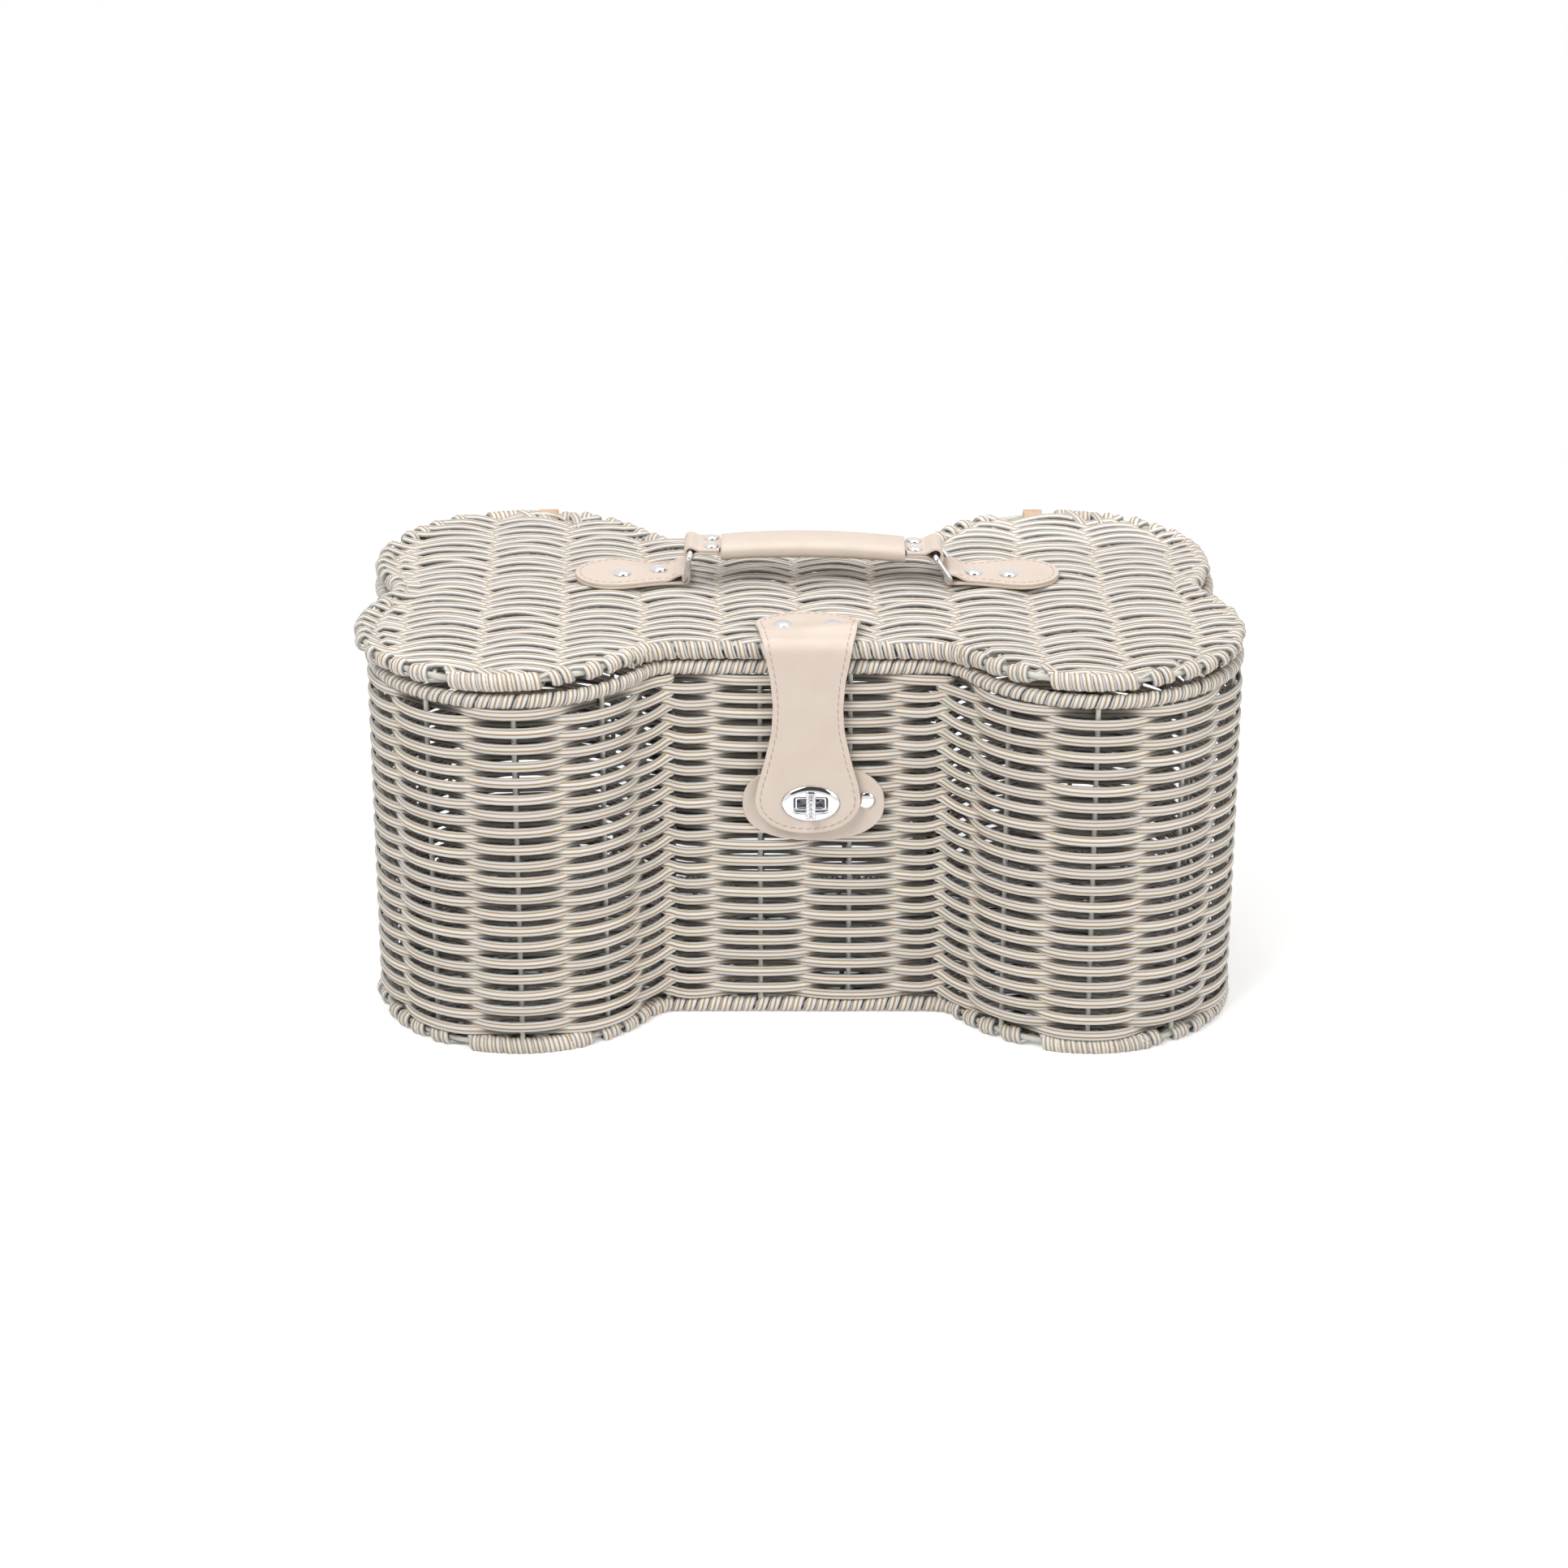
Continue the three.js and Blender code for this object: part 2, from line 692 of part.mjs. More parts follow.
function anchorRivetPoints() {
  const point = (x, { aside }) => vector(x, handleY + aside);
  const left = leftAnchorRivets.map((rivet) => point(leftRingX - rivet.along, rivet));
  const right = rightAnchorRivets.map((rivet) => point(rightRingX + rivet.along, rivet));
  return [...left, ...right];
}

function strapRivetPoints() {
  return [-1, 1].map((side) => vector(strapX + side * strapRivetHalf, strapRivetY));
}

function lidRivetHoles() {
  const points = [...anchorRivetPoints(), ...strapRivetPoints()];
  return points.map(({ x, y }) => rivetHole(x, y, lidUnderside - 1, lidTop + 1));
}

function backingRivetPoints() {
  return backingRivetX.map((x) => vector(x, lockHeight));
}

function backingRivetHoles() {
  return backingRivetPoints().map(({ x, y: z }) => {
    const from = new THREE.Vector3(x, wallFrontY - 1, z);
    const to = new THREE.Vector3(x, wallFrontY + 2 * weaveHalfThickness + 1, z);
    return toSolid(rod(from, to, rivetShankRadius + 2 * clearance));
  });
}

// Carry handle: anchor tabs on the lid, wire rings, end straps, core and sleeve

const ringPivotZ = tabFloor + leather + anchorFreePlay + ringWire;
const leftTop = ringTop(leftRingX, leftRingLean);
const rightTop = ringTop(rightRingX, rightRingLean);
const handleLength = leftTop.distanceTo(rightTop);
const handleTilt = Math.atan2(leftTop.z - rightTop.z, rightTop.x - leftTop.x);

function ringTop(x, lean) {
  const angle = THREE.MathUtils.degToRad(lean);
  const across = ringHeight * Math.sin(angle);
  const up = ringHeight * Math.cos(angle);
  return new THREE.Vector3(x + across, handleY, ringPivotZ + up);
}

// A rectangular wire ring that stands on its lower bar, in the plane x = 0
function wireRing() {
  const halfWidth = (ringInside + ringWire * 2) / 2;
  const flat = ringWire * Math.tan(Math.PI / 8);
  const slope = ringWire - flat;
  const outline = (edge) => {
    const half = halfWidth + edge;
    return roundedRectangle(-half, half, -edge, ringHeight + edge, ringBend + edge);
  };
  const shape = outline(flat);
  const inside = outline(-flat);
  shape.holes.push(new THREE.Path(inside.getPoints(3)));
  const settings = {
    depth: 2 * flat,
    bevelEnabled: true,
    bevelSegments: 1,
    bevelSize: slope,
    bevelThickness: slope,
    curveSegments: 3,
  };
  const geometry = new THREE.ExtrudeGeometry(shape, settings).translate(0, 0, -flat);
  return geometry.rotateX(Math.PI / 2).rotateZ(Math.PI / 2);
}

function roundedRectangle(x0, x1, y0, y1, radius) {
  const shape = new THREE.Shape();
  shape.absarc(x0 + radius, y0 + radius, radius, Math.PI, 1.5 * Math.PI, false);
  shape.absarc(x1 - radius, y0 + radius, radius, 1.5 * Math.PI, 2 * Math.PI, false);
  shape.absarc(x1 - radius, y1 - radius, radius, 0, 0.5 * Math.PI, false);
  shape.absarc(x0 + radius, y1 - radius, radius, 0.5 * Math.PI, Math.PI, false);
  return shape;
}

// An anchor tab from above: a round bulb that narrows to the ring. Its length runs along +X from the ring.
function anchorOutline() {
  const bulb = anchorBulbWidth / 2;
  const neck = anchorNeckWidth / 2;
  const centre = anchorLength - bulb;
  const shape = new THREE.Shape();
  shape.moveTo(0, -neck);
  shape.quadraticCurveTo(centre * 0.35, -neck, centre * 0.55, -(neck + bulb) / 2);
  shape.quadraticCurveTo(centre * 0.8, -bulb, centre, -bulb);
  shape.absarc(centre, 0, bulb, -Math.PI / 2, Math.PI / 2, false);
  shape.quadraticCurveTo(centre * 0.8, bulb, centre * 0.55, (neck + bulb) / 2);
  shape.quadraticCurveTo(centre * 0.35, neck, 0, neck);
  return shape;
}

// An anchor tab with its loop at x = 0, whose bulb points along the given direction of X
function anchorTab(ringX, direction, rivets) {
  const loopRadius = ringWire + anchorFreePlay + leather;
  const tab = new THREE.ExtrudeGeometry(anchorOutline(), {
    depth: doubleLeather,
    bevelEnabled: false,
    curveSegments: 7,
  });
  const half = anchorNeckWidth / 2;
  const back = new THREE.Vector3(0, half, loopRadius);
  const front = new THREE.Vector3(0, -half, loopRadius);
  const barrel = toSolid(rod(front, back, loopRadius, 12));
  const bore = toSolid(rod(
    new THREE.Vector3(0, -half - 1, loopRadius),
    new THREE.Vector3(0, half + 1, loopRadius),
    (ringWire + anchorFreePlay) / Math.cos(Math.PI / 12),
    12,
  ));
  const holes = rivets.map(({ along, aside }) => {
    return rivetHole(along, aside * direction, -1, doubleLeather + 1);
  });
  const body = cut(join(toSolid(tab), barrel), bore, ...holes);
  const geometry = toGeometry(body).toNonIndexed();
  if (direction < 0) geometry.rotateZ(Math.PI);
  return geometry.translate(ringX, handleY, tabFloor);
}

// An end strap of the handle: a loop round the ring's upper bar, closing to a flat double layer
function endStrap(play) {
  const bore = ringWire + play;
  const outer = bore + leather;
  const throat = outer + leather;
  const shape = new THREE.Shape();
  shape.absarc(0, 0, outer, Math.PI / 2, 1.5 * Math.PI, false);
  shape.lineTo(1, -outer);
  shape.lineTo(throat, -leather);
  shape.lineTo(endStrapLength, -leather);
  shape.lineTo(endStrapLength, leather);
  shape.lineTo(throat, leather);
  shape.lineTo(1, outer);
  const eye = new THREE.Path();
  eye.absarc(0, 0, bore, Math.PI / 3, 5 * Math.PI / 3, false);
  eye.lineTo(throat - 1, 0);
  shape.holes.push(new THREE.Path(eye.getPoints(8)));
  const settings = { depth: endStrapWidth, bevelEnabled: false, curveSegments: 8 };
  const geometry = new THREE.ExtrudeGeometry(shape, settings);
  geometry.rotateX(Math.PI / 2).translate(0, endStrapWidth / 2, 0);
  const holes = endRivetPoints().map(({ x, y }) => rivetHole(x, y, -outer, outer));
  const tongue = sleeveStart - clearance;
  const sides = [-1, 1].map((side) => {
    const y0 = side * tongueWidth / 2;
    const y1 = side * endStrapWidth;
    return toSolid(box(tongue, endStrapLength + 1, Math.min(y0, y1), Math.max(y0, y1), -outer, outer));
  });
  return cut(toSolid(geometry), ...holes, ...sides);
}

function endRivetPoints() {
  const along = (ringWire + openPivotPlay + 2 * leather + sleeveStart) / 2;
  return [-1, 1].map((side) => vector(along, side * endStrapWidth * 0.26));
}

// A bar of flattened round section along the handle, bowed upwards in the middle
function handleBar(width, height, inset) {
  const length = handleLength - 2 * sleeveStart;
  const rise = (along) => 4 * sleeveBow * (along / length) * (1 - along / length);
  const slope = 4 * sleeveBow / length * (1 - 2 * inset / length);
  const start = new THREE.Vector3(sleeveStart + inset, 0, rise(inset));
  const end = new THREE.Vector3(sleeveStart + length - inset, 0, rise(inset));
  const top = rise(inset) + slope * (length / 2 - inset);
  const middle = new THREE.Vector3(handleLength / 2, 0, top);
  const path = new THREE.QuadraticBezierCurve3(start, middle, end);
  const section = new THREE.Shape();
  const sides = 14;
  for (let i = 0; i < sides; i += 1) {
    const angle = 2 * Math.PI * i / sides;
    const x = width / 2 * Math.cos(angle);
    const y = height / 2 * Math.sin(angle);
    if (i === 0) section.moveTo(x, y);
    else section.lineTo(x, y);
  }
  return new THREE.ExtrudeGeometry(section, { steps: 6, extrudePath: path, bevelEnabled: false });
}

function handleSleeve() {
  const skin = 2 * leather;
  const outer = toSolid(handleBar(sleeveWidth + skin / 2, sleeveHeight, 0));
  const inner = toSolid(handleBar(sleeveWidth - skin / 2, sleeveHeight - skin, -1));
  return outer.subtract(inner);
}

function handleCore() {
  const skin = 2 * leather + 2 * clearance;
  return toSolid(handleBar(sleeveWidth - skin - leather, sleeveHeight - skin - 2 * clearance, coreInset));
}

// Closing strap

const foldY = wallFrontY - backingThickness - rivetCapHeight - 3 * clearance - strapLeather / 2;
const foldZ = tabFloor + strapLeather / 2;

function strapRoot() {
  const frontY = foldY + strapLeather / 2 + clearance;
  const shape = new THREE.Shape();
  shape.moveTo(-strapCrestHalf, frontY);
  shape.lineTo(strapCrestHalf, frontY);
  shape.lineTo(strapCrestHalf, strapEarY - strapEarLength);
  shape.quadraticCurveTo(strapEarHalf + 1, strapEarY - 2, strapEarHalf * 0.86, strapEarY + 3);
  shape.quadraticCurveTo(strapEarHalf * 0.4, strapBackY, 0, strapBackY);
  shape.quadraticCurveTo(-strapEarHalf * 0.4, strapBackY, -strapEarHalf * 0.86, strapEarY + 3);
  shape.quadraticCurveTo(-strapEarHalf - 1, strapEarY - 2, -strapCrestHalf, strapEarY - strapEarLength);
  const settings = { depth: strapLeather, bevelEnabled: false, curveSegments: 4 };
  const sheet = new THREE.ExtrudeGeometry(shape, settings).translate(strapX, 0, tabFloor);
  const top = tabFloor + strapLeather + 1;
  const holes = strapRivetPoints().map(({ x, y }) => rivetHole(x, y, tabFloor - 1, top));
  return cut(toSolid(sheet), ...holes);
}

// The hanging flap, drawn from the front: X across, Y the height above the lock
function strapFlap() {
  const bulbZ = lockHeight + strapBulbRise;
  const waistZ = foldZ - strapWaistDrop;
  const endZ = lockHeight - strapTail;
  const edge = new THREE.SplineCurve([
    vector(strapCrestHalf, foldZ),
    vector((strapCrestHalf + strapWaistHalf) / 2 - 0.6, (foldZ + waistZ) / 2),
    vector(strapWaistHalf, waistZ),
    vector((strapBulbHalf + strapWaistHalf) / 2 - 0.8, (bulbZ + waistZ) / 2 + 2),
    vector(strapBulbHalf, bulbZ),
    vector(strapBulbHalf * 0.62, endZ + (bulbZ - endZ) * 0.22),
    vector(0, endZ),
  ]);
  const right = edge.getPoints(18);
  const left = right.slice(0, -1).reverse().map(({ x, y }) => vector(-x, y));
  const shape = new THREE.Shape([...right, ...left].reverse());
  const sheet = new THREE.ExtrudeGeometry(shape, { depth: strapLeather, bevelEnabled: false });
  sheet.rotateX(Math.PI / 2).translate(strapX, foldY + strapLeather / 2, 0);
  const roll = rod(
    new THREE.Vector3(strapX - strapCrestHalf, foldY, foldZ),
    new THREE.Vector3(strapX + strapCrestHalf, foldY, foldZ),
    strapLeather / 2,
    8,
  );
  return cut(join(toSolid(sheet), toSolid(roll)), slotTool(slotWidth + 1, slotHeight + 1));
}

function slotTool(width, height) {
  const far = 12;
  return toSolid(box(
    lockX - width / 2, lockX + width / 2,
    foldY - far, foldY + far,
    lockHeight - height / 2, lockHeight + height / 2,
  ));
}

// A flat piece drawn from the front and given a thickness towards the back
function frontPiece(shape, frontY, thickness, curveSegments = 6) {
  const settings = { depth: thickness, bevelEnabled: false, curveSegments };
  const geometry = new THREE.ExtrudeGeometry(shape, settings);
  return geometry.rotateX(Math.PI / 2).translate(0, frontY + thickness, 0);
}

function ovalEyelet() {
  const frontY = foldY - strapLeather / 2 - clearance - lockMetal;
  const shape = new THREE.Shape();
  shape.absellipse(lockX, lockHeight, eyeletWidth / 2, eyeletHeight / 2, 0, 2 * Math.PI, false, 0);
  const oval = toSolid(frontPiece(shape, frontY, lockMetal, 10));
  return oval.subtract(slotTool(slotWidth, slotHeight));
}

function backingPlate() {
  const halfWidth = backingWidth / 2;
  const halfHeight = backingHeight / 2;
  const middle = lockHeight - backingDrop;
  const shape = roundedRectangle(
    backingX - halfWidth, backingX + halfWidth,
    middle - halfHeight, middle + halfHeight,
    halfHeight - 1,
  );
  const frontY = wallFrontY - clearance - backingThickness;
  return cut(toSolid(frontPiece(shape, frontY, backingThickness)), ...backingRivetHoles().map(forwards));
}

function forwards(tool) {
  return tool.translate([0, -backingThickness - 1, 0]);
}

const lockPlateY = wallFrontY - backingThickness - 2 * clearance - lockMetal;

function lockPlate() {
  const shape = roundedRectangle(
    lockX - lockPlateWidth / 2, lockX + lockPlateWidth / 2,
    lockHeight - lockPlateHeight / 2, lockHeight + lockPlateHeight / 2,
    4,
  );
  return frontPiece(shape, lockPlateY, lockMetal, 3);
}

// The knob: a post through the eyelet and a bar across its end, upright when locked
function lockKnob() {
  const barBack = foldY - strapLeather / 2 - 2 * clearance - lockMetal;
  const centre = (y) => new THREE.Vector3(lockX, y, lockHeight);
  const post = toSolid(rod(centre(lockPlateY - clearance), centre(barBack - 1), knobPostRadius, 10));
  const shape = roundedRectangle(
    lockX - knobWidth / 2, lockX + knobWidth / 2,
    lockHeight - knobHeight / 2, lockHeight + knobHeight / 2,
    1.2,
  );
  return join(post, toSolid(frontPiece(shape, barBack - knobDepth, knobDepth, 2)));
}

function knobStones() {
  const frontY = foldY - strapLeather / 2 - 3 * clearance - lockMetal - knobDepth - stoneDepth;
  const half = knobWidth / 2 - 0.8;
  const tall = knobHeight / 2 - 1;
  const backY = frontY + stoneDepth;
  return box(lockX - half, lockX + half, frontY, backY, lockHeight - tall, lockHeight + tall);
}

// Assembly

const hamper = new THREE.Group();

function paint({ color, roughness, metalness }) {
  return new THREE.MeshStandardMaterial({ color, roughness, metalness });
}

function add(parent, name, shape, finish, place = null) {
  const geometry = shape instanceof THREE.BufferGeometry ? shape : toGeometry(shape);
  const mesh = new THREE.Mesh(geometry, paint(finish));
  mesh.name = name;
  if (place) mesh.position.copy(place);
  parent.add(mesh);
  return mesh;
}

function addBasket() {
  add(hamper, 'body_wire_frame', bodyWireFrame(), wirePaint);
  for (const [name, solid] of Object.entries(wallPanels())) {
    add(hamper, name, solid, strandPaint);
  }
  add(hamper, 'base_weave', baseWeave(), strandPaint);
  const baseWrap = wrapping(basketPlan, baseHeight, [...stakeChannels, ...baseChannels]);
  add(hamper, 'base_rim_wrap', baseWrap, strandPaint);
  const rim = splitAtHinges(wrapping(basketPlan, rimHeight, stakeChannels), rimHeight);
  add(hamper, 'body_rim_wrap_front', rim.around, strandPaint);
  add(hamper, 'body_rim_wrap_back', rim.between, strandPaint);
  add(hamper, 'hinge_loop_left', hingeLoop(hinges[0]), leatherPaint);
  add(hamper, 'hinge_loop_right', hingeLoop(hinges[1]), leatherPaint);
}

function addLid() {
  add(hamper, 'lid_wire_frame', lidWireFrame(), wirePaint);
  add(hamper, 'lid_weave', lidWeave(), strandPaint);
  const rim = splitAtHinges(wrapping(lidPlan, lidHeight, lidChannels), lidHeight);
  add(hamper, 'lid_rim_wrap_front', rim.around, strandPaint);
  add(hamper, 'lid_rim_wrap_back', rim.between, strandPaint);
  add(hamper, 'handle_anchor_left', anchorTab(leftRingX, -1, leftAnchorRivets), leatherPaint);
  add(hamper, 'handle_anchor_right', anchorTab(rightRingX, 1, rightAnchorRivets), leatherPaint);
  const names = ['left_inner', 'left_outer', 'right_inner', 'right_outer'];
  anchorRivetPoints().forEach(({ x, y }, i) => {
    const seat = new THREE.Vector3(x, y, tabFloor + doubleLeather);
    const grip = seat.z - lidUnderside;
    add(hamper, `anchor_rivet_${names[i]}`, rivet(rivetCapRadius, grip), chromePaint, seat);
  });
}

function addHandle() {
  const rings = [['left', leftRingX, leftRingLean], ['right', rightRingX, rightRingLean]];
  for (const [side, x, lean] of rings) {
    const foot = new THREE.Vector3(x, handleY, ringPivotZ);
    const ring = add(hamper, `handle_ring_${side}`, wireRing(), chromePaint, foot);
    ring.rotation.y = THREE.MathUtils.degToRad(lean);
  }

  const handle = new THREE.Group();
  handle.position.copy(leftTop);
  handle.rotation.y = handleTilt;
  hamper.add(handle);
  add(handle, 'handle_sleeve', handleSleeve(), leatherPaint);
  add(handle, 'handle_core', handleCore(), fillerPaint);
  const right = new THREE.Group();
  right.position.x = handleLength;
  right.rotation.z = Math.PI;
  handle.add(right);
  const ends = [['left', handle, handlePlay], ['right', right, openPivotPlay]];
  for (const [side, end, play] of ends) {
    add(end, `handle_end_strap_${side}`, endStrap(play), leatherPaint);
    endRivetPoints().forEach(({ x, y }, i) => {
      const seat = new THREE.Vector3(x, y, leather);
      add(end, `handle_rivet_${side}_${i + 1}`, rivet(smallCapRadius, 2 * leather), chromePaint, seat);
    });
  }
}

function addStrapAndLock() {
  add(hamper, 'strap_root', strapRoot(), leatherPaint);
  const sides = ['left', 'right'];
  strapRivetPoints().forEach(({ x, y }, i) => {
    const seat = new THREE.Vector3(x, y, tabFloor + strapLeather);
    const grip = seat.z - lidUnderside;
    add(hamper, `strap_rivet_${sides[i]}`, rivet(rivetCapRadius, grip), chromePaint, seat);
  });
  add(hamper, 'strap_flap', strapFlap(), leatherPaint);
  add(hamper, 'strap_eyelet', ovalEyelet(), chromePaint);
  add(hamper, 'lock_backing_leather', backingPlate(), leatherPaint);
  backingRivetPoints().forEach(({ x, y: z }, i) => {
    const seat = new THREE.Vector3(x, wallFrontY - clearance - backingThickness, z);
    const grip = backingThickness + clearance + 2 * weaveHalfThickness;
    const stud = add(hamper, `lock_rivet_${sides[i]}`, rivet(rivetCapRadius, grip), chromePaint, seat);
    stud.rotation.x = Math.PI / 2;
  });
  add(hamper, 'lock_plate', lockPlate(), chromePaint);
  add(hamper, 'lock_knob', lockKnob(), chromePaint);
  add(hamper, 'lock_knob_stones', knobStones(), stonePaint);
}

addBasket();
addLid();
addHandle();
addStrapAndLock();

export default hamper;
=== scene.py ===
"""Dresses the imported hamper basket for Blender 4.5.

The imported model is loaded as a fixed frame. Every woven wall, wrapped rim, wire, strap and fitting
is then made at full detail in the place of its plain solid. Lengths are written in millimetres, and
they become metres where a mesh is made.
"""

from __future__ import annotations

import json
import logging
import math
from dataclasses import dataclass, field, replace
from enum import Enum
from typing import Any, Callable, Iterable, Sequence

import bmesh
import bpy
import numpy as np
from mathutils import Matrix, Vector

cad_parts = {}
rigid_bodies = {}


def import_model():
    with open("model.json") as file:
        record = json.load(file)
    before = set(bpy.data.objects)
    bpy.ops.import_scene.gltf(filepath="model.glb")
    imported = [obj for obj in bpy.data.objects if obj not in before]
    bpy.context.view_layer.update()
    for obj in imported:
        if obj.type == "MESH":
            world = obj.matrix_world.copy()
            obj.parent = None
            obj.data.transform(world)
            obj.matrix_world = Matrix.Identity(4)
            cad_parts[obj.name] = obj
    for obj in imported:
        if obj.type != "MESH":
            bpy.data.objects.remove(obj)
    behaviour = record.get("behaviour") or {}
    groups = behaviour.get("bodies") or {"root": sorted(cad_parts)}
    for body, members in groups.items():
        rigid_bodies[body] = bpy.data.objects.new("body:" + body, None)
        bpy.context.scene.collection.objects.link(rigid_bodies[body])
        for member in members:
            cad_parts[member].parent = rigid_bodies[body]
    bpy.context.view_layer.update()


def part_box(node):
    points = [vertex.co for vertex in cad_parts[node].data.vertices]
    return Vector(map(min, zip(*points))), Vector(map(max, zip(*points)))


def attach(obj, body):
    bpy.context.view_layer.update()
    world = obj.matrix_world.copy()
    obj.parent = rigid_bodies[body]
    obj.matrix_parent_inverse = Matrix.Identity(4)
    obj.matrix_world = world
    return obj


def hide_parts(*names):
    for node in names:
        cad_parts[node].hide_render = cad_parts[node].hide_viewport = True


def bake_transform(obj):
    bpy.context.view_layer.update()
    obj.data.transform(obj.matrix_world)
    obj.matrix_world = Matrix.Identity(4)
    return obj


LOG = logging.getLogger("hamper")
MM = 0.001
UP = np.array([0.0, 0.0, 1.0])
DEPTH = np.array([0.0, 1.0, 0.0])
LAYER_GAP = 0.06

Array = np.ndarray
Object = bpy.types.Object
Material = bpy.types.Material
Pair = tuple[float, float]
Pairs = tuple[Pair, ...]
Triple = tuple[float, float, float]
Colour = Triple


class Body(Enum):
    """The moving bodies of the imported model."""

    BASKET = "basket"
    LID = "lid"
    RING_LEFT = "ring_left"
    RING_RIGHT = "ring_right"
    HANDLE = "handle"
    STRAP = "strap"
    KNOB = "knob"


class Slot(Enum):
    """The record's material slots."""

    STRAND = "strand"
    WIRE = "wire"
    LEATHER = "leather"
    CHROME = "chrome"
    STONES = "stones"


# Node graphs


class Graph:
    """Builds the nodes of a shader or a geometry tree."""

    def __init__(self, tree: bpy.types.NodeTree) -> None:
        """Keep the tree that the nodes go into."""
        self.tree = tree

    def node(
        self, kind: str, settings: dict[str, Any] | None = None,
        inputs: dict[str | int, Any] | None = None,
    ) -> bpy.types.Node:
        """Add one node.

        Args:
            kind: The node's type.
            settings: Its settings, which are set first.
            inputs: Values or links of its sockets, by name or place.

        Returns:
            The new node.
        """
        made = self.tree.nodes.new(kind)
        for name, value in (settings or {}).items():
            setattr(made, name, value)
        for key, value in (inputs or {}).items():
            self.feed(made.inputs[key], value)
        return made

    def feed(self, socket: bpy.types.NodeSocket, value: Any) -> None:
        """Link a term or a socket to an input, or set its value.

        Args:
            socket: The input.
            value: A term, an output socket or a plain value.
        """
        source = value.socket if isinstance(value, Term) else value
        if isinstance(source, bpy.types.NodeSocket):
            self.tree.links.new(source, socket)
        else:
            socket.default_value = source

    def out(
        self, kind: str, settings: dict[str, Any] | None = None,
        inputs: dict[str | int, Any] | None = None, which: str | int = 0,
    ) -> Term:
        """Add one node, as node does, and take one of its outputs as a term."""
        return Term(self, self.node(kind, settings, inputs).outputs[which])

    def maths(self, operation: str, *terms: Any) -> Term:
        """The result of a Math node."""
        return self.out("ShaderNodeMath", {"operation": operation}, dict(enumerate(terms)))

    def vector(self, operation: str, *terms: Any, **named: Any) -> Term:
        """The vector result of a Vector Math node, with inputs given by place or by name."""
        inputs: dict[str | int, Any] = {**dict(enumerate(terms)), **named}
        return self.out("ShaderNodeVectorMath", {"operation": operation}, inputs)

    def given(self) -> dict[str, Term]:
        """The inputs of a geometry tree."""
        sockets = self.node("NodeGroupInput").outputs
        return {socket.name: Term(self, socket) for socket in sockets if socket.name}

    def named(self, label: str, kind: str = "FLOAT") -> Term:
        """A named value of the geometry that a tree works on."""
        return self.out("GeometryNodeInputNamedAttribute", {"data_type": kind}, {0: label})

    def stored(
        self, geometry: Any, label: str, value: Any, kind: str = "FLOAT", domain: str = "POINT"
    ) -> Term:
        """Store a named value on geometry.

        Args:
            geometry: The geometry's socket.
            label: The value's name.
            value: The value.
            kind: Its data type.
            domain: What it is stored on.

        Returns:
            The geometry with the value.
        """
        settings = {"data_type": kind, "domain": domain}
        inputs = {"Geometry": geometry, "Name": label, "Value": value}
        return self.out("GeometryNodeStoreNamedAttribute", settings, inputs)

    def end(self, geometry: Any, material: Any) -> None:
        """End a geometry tree: its instances are made real and take one material."""
        real = self.out("GeometryNodeRealizeInstances", None, {0: geometry})
        inputs = {"Geometry": real, "Material": material}
        painted = self.out("GeometryNodeSetMaterial", None, inputs)
        self.feed(self.node("NodeGroupOutput").inputs[0], painted)


@dataclass(frozen=True)
class Term:
    """A number in a node tree, used in plain expressions."""

    graph: Graph
    socket: bpy.types.NodeSocket

    def __add__(self, other: Any) -> Term:
        """Add."""
        return self.graph.maths("ADD", self, other)

    __radd__ = __add__

    def __sub__(self, other: Any) -> Term:
        """Subtract."""
        return self.graph.maths("SUBTRACT", self, other)

    def __rsub__(self, other: Any) -> Term:
        """Subtract from a plain number."""
        return self.graph.maths("SUBTRACT", other, self)

    def __mul__(self, other: Any) -> Term:
        """Multiply."""
        return self.graph.maths("MULTIPLY", self, other)

    __rmul__ = __mul__

    def __truediv__(self, other: Any) -> Term:
        """Divide."""
        return self.graph.maths("DIVIDE", self, other)

    def size(self) -> Term:
        """The number without its sign."""
        return self.graph.maths("ABSOLUTE", self)

    def most(self, other: Any) -> Term:
        """The larger of two numbers."""
        return self.graph.maths("MAXIMUM", self, other)

    def rise(self, low: float, high: float) -> Term:
        """A smooth step from 0 at low to 1 at high.

        Args:
            low: Where the step starts.
            high: Where it ends.

        Returns:
            The step.
        """
        inputs = {"Value": self, "From Min": low, "From Max": high}
        smooth = {"interpolation_type": "SMOOTHSTEP"}
        return self.graph.out("ShaderNodeMapRange", smooth, inputs, "Result")

    def band(self, centre: float, half: float, soft: float) -> Term:
        """A band round a centre, 1 inside and 0 outside, whose edge is soft over a width."""
        away = (self - centre).size()
        return 1.0 - away.rise(half - soft / 2, half + soft / 2)


# Materials


